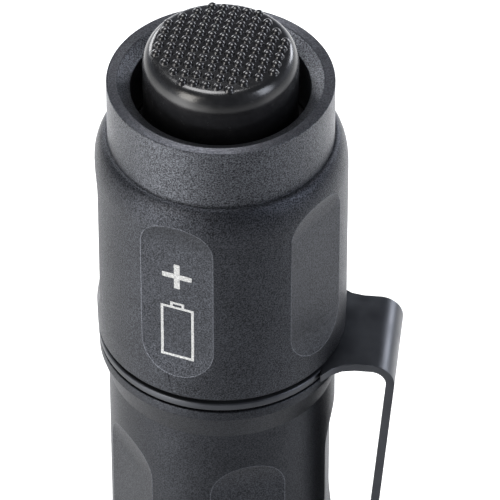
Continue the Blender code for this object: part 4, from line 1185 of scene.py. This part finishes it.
def moulded(name, base, light, roughness, grain=0.25):
    """Moulded plastic, lacquer or wrapper, with a faint grain of that size in mm."""
    tree, shader, spot = new_finish(name, base, roughness)
    fine = node(tree, "TexNoise", Vector=spot, Scale=1 / (grain * MM), Detail=3.0)
    tone = node(tree, "Mix", {"data_type": "RGBA"}, _0=fine.outputs["Fac"], _6=colour(base), _7=colour(light))
    bump = node(tree, "Bump", Strength=1.0, Distance=0.006 * MM, Height=fine.outputs["Fac"])
    plug(tree, shader, Base_Color=tone.outputs[2], Normal=bump.outputs["Normal"])


def lacquered_board(name, lacquer, copper):
    """A circuit board: tracks 0.5 mm apart that show paler through the lacquer."""
    tree, shader, spot = new_finish(name, lacquer, 0.35, IOR=1.5)
    tracks = node(tree, "TexBrick", Vector=spot, Color1=colour(lacquer), Color2=colour(lacquer),
                  Mortar=colour(copper), Scale=1 / (1.6 * MM) / 2, Mortar_Size=0.12, Row_Height=0.6)
    bump = node(tree, "Bump", Strength=1.0, Distance=0.02 * MM, Height=tracks.outputs["Fac"])
    plug(tree, shader, Base_Color=tracks.outputs["Color"], Normal=bump.outputs["Normal"])


turned_metal("bare_turned_aluminium", "b9babd", "d6d7d9", 0.34)
turned_metal("turned_brass", "b08a3c", "cfa856", 0.30)
turned_metal("drawn_spring_steel", "a9aaa9", "c9cac8", 0.26)
turned_metal("nickel_plated_steel", "b4b4b0", "cfcfca", 0.24)
moulded("black_acetal", "141415", "1d1d1e", 0.45)
moulded("black_epoxy", "0e0e0f", "181819", 0.55, 0.4)
moulded("shrunk_cell_wrapper", "27405f", "2f4b6e", 0.32, 1.5)
moulded("red_wire_insulation", "8e1414", "a11c1c", 0.45)
moulded("black_wire_insulation", "101010", "1a1a1a", 0.45)
moulded("white_ceramic", "dcdbd5", "ecebe6", 0.5)
moulded("cured_phosphor", "e3c441", "efd765", 0.45, 0.08)
lacquered_board("green_lacquered_board", "0f4a27", "1f6a3a")
lacquered_board("white_lacquered_board", "dcdcd8", "c9c9c2")
print("finishes:", len(bpy.data.materials))

# %% [markdown]
# ## The lamp
#
# The emitter is a white ceramic tile with a square of yellow phosphor under a dome of clear
# silicone. Each is its own small piece, because they are seen enlarged in the mirror round them.

# %% Build the emitter
CERAMIC_Z = 22.1
COVER_RADIUS = 1.3


def tile(name, side, low, high, finish, bevel):
    """A square tile with broken edges, in mm."""
    pick()
    bpy.ops.mesh.primitive_cube_add(size=1.0, location=(0.0, 0.0, (low + high) / 2 * MM))
    obj = fresh(name, (side * MM, side * MM, (high - low) * MM))
    edit(obj)
    bpy.ops.mesh.select_all(action="SELECT")
    bpy.ops.mesh.bevel(offset=bevel * MM, segments=3)
    dress(done(obj), finish)
    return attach(obj, "light")


base = tile("emitter_base", 3.4, CERAMIC_Z, CERAMIC_Z + 0.5, "white_ceramic", 0.08)
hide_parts("led_emitter")
phosphor = tile("emitter_phosphor", 2.0, CERAMIC_Z - 0.12, CERAMIC_Z + 0.04, "cured_phosphor", 0.03)
cover_section = []
for i in range(16):
    lean = math.radians(6 * i)
    cover_section.append((COVER_RADIUS * math.cos(lean), CERAMIC_Z - COVER_RADIUS * math.sin(lean)))
cover = lathe("emitter_dome", cover_section + [(0.0, CERAMIC_Z)], 48)
dress(cover, "coated_mineral_glass")
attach(cover, "light")
print("emitter:", base.name, cover.name)

# %% [markdown]
# ## Cells and their spring
#
# Two plain cells stand on a coil spring, plus end to the tail. A cell is a drawn can in a shrunk
# wrapper. Its rim is rolled in below the plus end, which leaves a groove, and the wrapper folds
# over both ends, so the finish changes by radius and height on one turned piece.

# %% Turn the cells
CELL_RADIUS = 8.5
CELL_BODY = 33.5
CONTACT_RADIUS = 3.2
END_RADIUS = 6.6

for name, low in (("cell_lower", 46.5), ("cell_upper", 81.3)):
    top = low + CELL_BODY
    section = [
        (0.0, top + 1.0),
        (CONTACT_RADIUS, top + 1.0, 0.25),
        (CONTACT_RADIUS, top + 0.1, 0.1),
        (4.4, top - 0.1, 0.2),
        (5.4, top, 0.3),
        (CELL_RADIUS, top, 0.7),
        (CELL_RADIUS, top - 2.1, 0.3),
        (8.15, top - 2.6, 0.4),
        (CELL_RADIUS, top - 3.1, 0.3),
        (CELL_RADIUS, low, 0.6),
        (END_RADIUS, low, 0.1),
        (END_RADIUS, low + 0.1, 0.05),
        (0.0, low + 0.1),
    ]
    can = lathe(name + "_can", eased(section, closed=False), 96, closed=False)
    dress(can, "shrunk_cell_wrapper", "nickel_plated_steel", "white_ceramic")
    for face in can.data.polygons:
        r, z = face.center.xy.length / MM, face.center.z / MM
        bare = r < CONTACT_RADIUS + 0.1 or (z < low + 0.2 and r < END_RADIUS)
        washer = z > top - 0.2 and r < 6.4
        face.material_index = 1 if bare else 2 if washer else 0
    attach(can, "light")
    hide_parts(name)
    print(name, "stands at", low, "mm,", len(can.data.polygons), "faces")

# %% Wind the spring
def coil(name, low, length, wire, wide, narrow, turns):
    """A round-wire spring from its widest turn up to its narrowest; radii over the wire, in mm."""
    sides, count = 12, 40 * turns
    pick()
    bpy.ops.mesh.primitive_circle_add(vertices=sides, radius=wire / 2 * MM, rotation=(math.pi / 2, 0.0, 0.0),
                                      location=((wide - wire / 2) * MM, 0.0, (low + wire / 2) * MM))
    obj = fresh(name)
    settle(obj, "SCREW", angle=2 * math.pi * turns, screw_offset=(length - wire) * MM, steps=count,
           render_steps=count)
    for vertex in obj.data.vertices:
        share = (vertex.index // sides) / count
        across = vertex.co.xy.normalized() * share * (wide - narrow) * MM
        vertex.co.x -= across.x
        vertex.co.y -= across.y
    edit(obj)
    bpy.ops.mesh.select_non_manifold()
    bpy.ops.mesh.fill()
    bpy.ops.mesh.select_all(action="SELECT")
    bpy.ops.mesh.normals_make_consistent(inside=False)
    return done(obj, 40.0)


spring = coil("head_contact_spring", 38.2, 8.0, 0.9, 4.6, 3.2, 5)
dress(spring, "drawn_spring_steel")
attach(spring, "light")
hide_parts("head_spring")
print("spring:", len(spring.data.polygons), "faces")

# %% [markdown]
# ## What stays as CAD
#
# The parts of the switch and the heat sink have the right shape already and sit out of sight. They
# keep their solids and only get their true finish.

# %% Dress the inner solids
INNER = {
    "heat_sink_pill": "bare_turned_aluminium",
    "reflector_gasket": "black_acetal",
    "led_board": "white_lacquered_board",
    "driver_board": "green_lacquered_board",
    "lead_positive": "red_wire_insulation",
    "lead_negative": "black_wire_insulation",
    "switch_clamp_ring": "turned_brass",
    "tail_contact": "turned_brass",
    "switch_board": "green_lacquered_board",
    "switch_carrier": "black_acetal",
    "switch_body": "black_epoxy",
    "switch_plunger": "black_acetal",
    "switch_return_spring": "drawn_spring_steel",
    "boot_rim": "moulded_silicone_rubber",
}
for name, finish in INNER.items():
    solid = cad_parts[name]
    for place in solid.material_slots:
        place.material = bpy.data.materials[finish]
shown = [name for name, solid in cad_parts.items() if not solid.hide_render]
print("CAD solids still shown:", len(shown), sorted(set(shown) - set(INNER)))

# %% [markdown]
# ## Bounds
#
# The box round everything still shown, the floor left out, is measured.

# %% Finish
low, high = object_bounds()
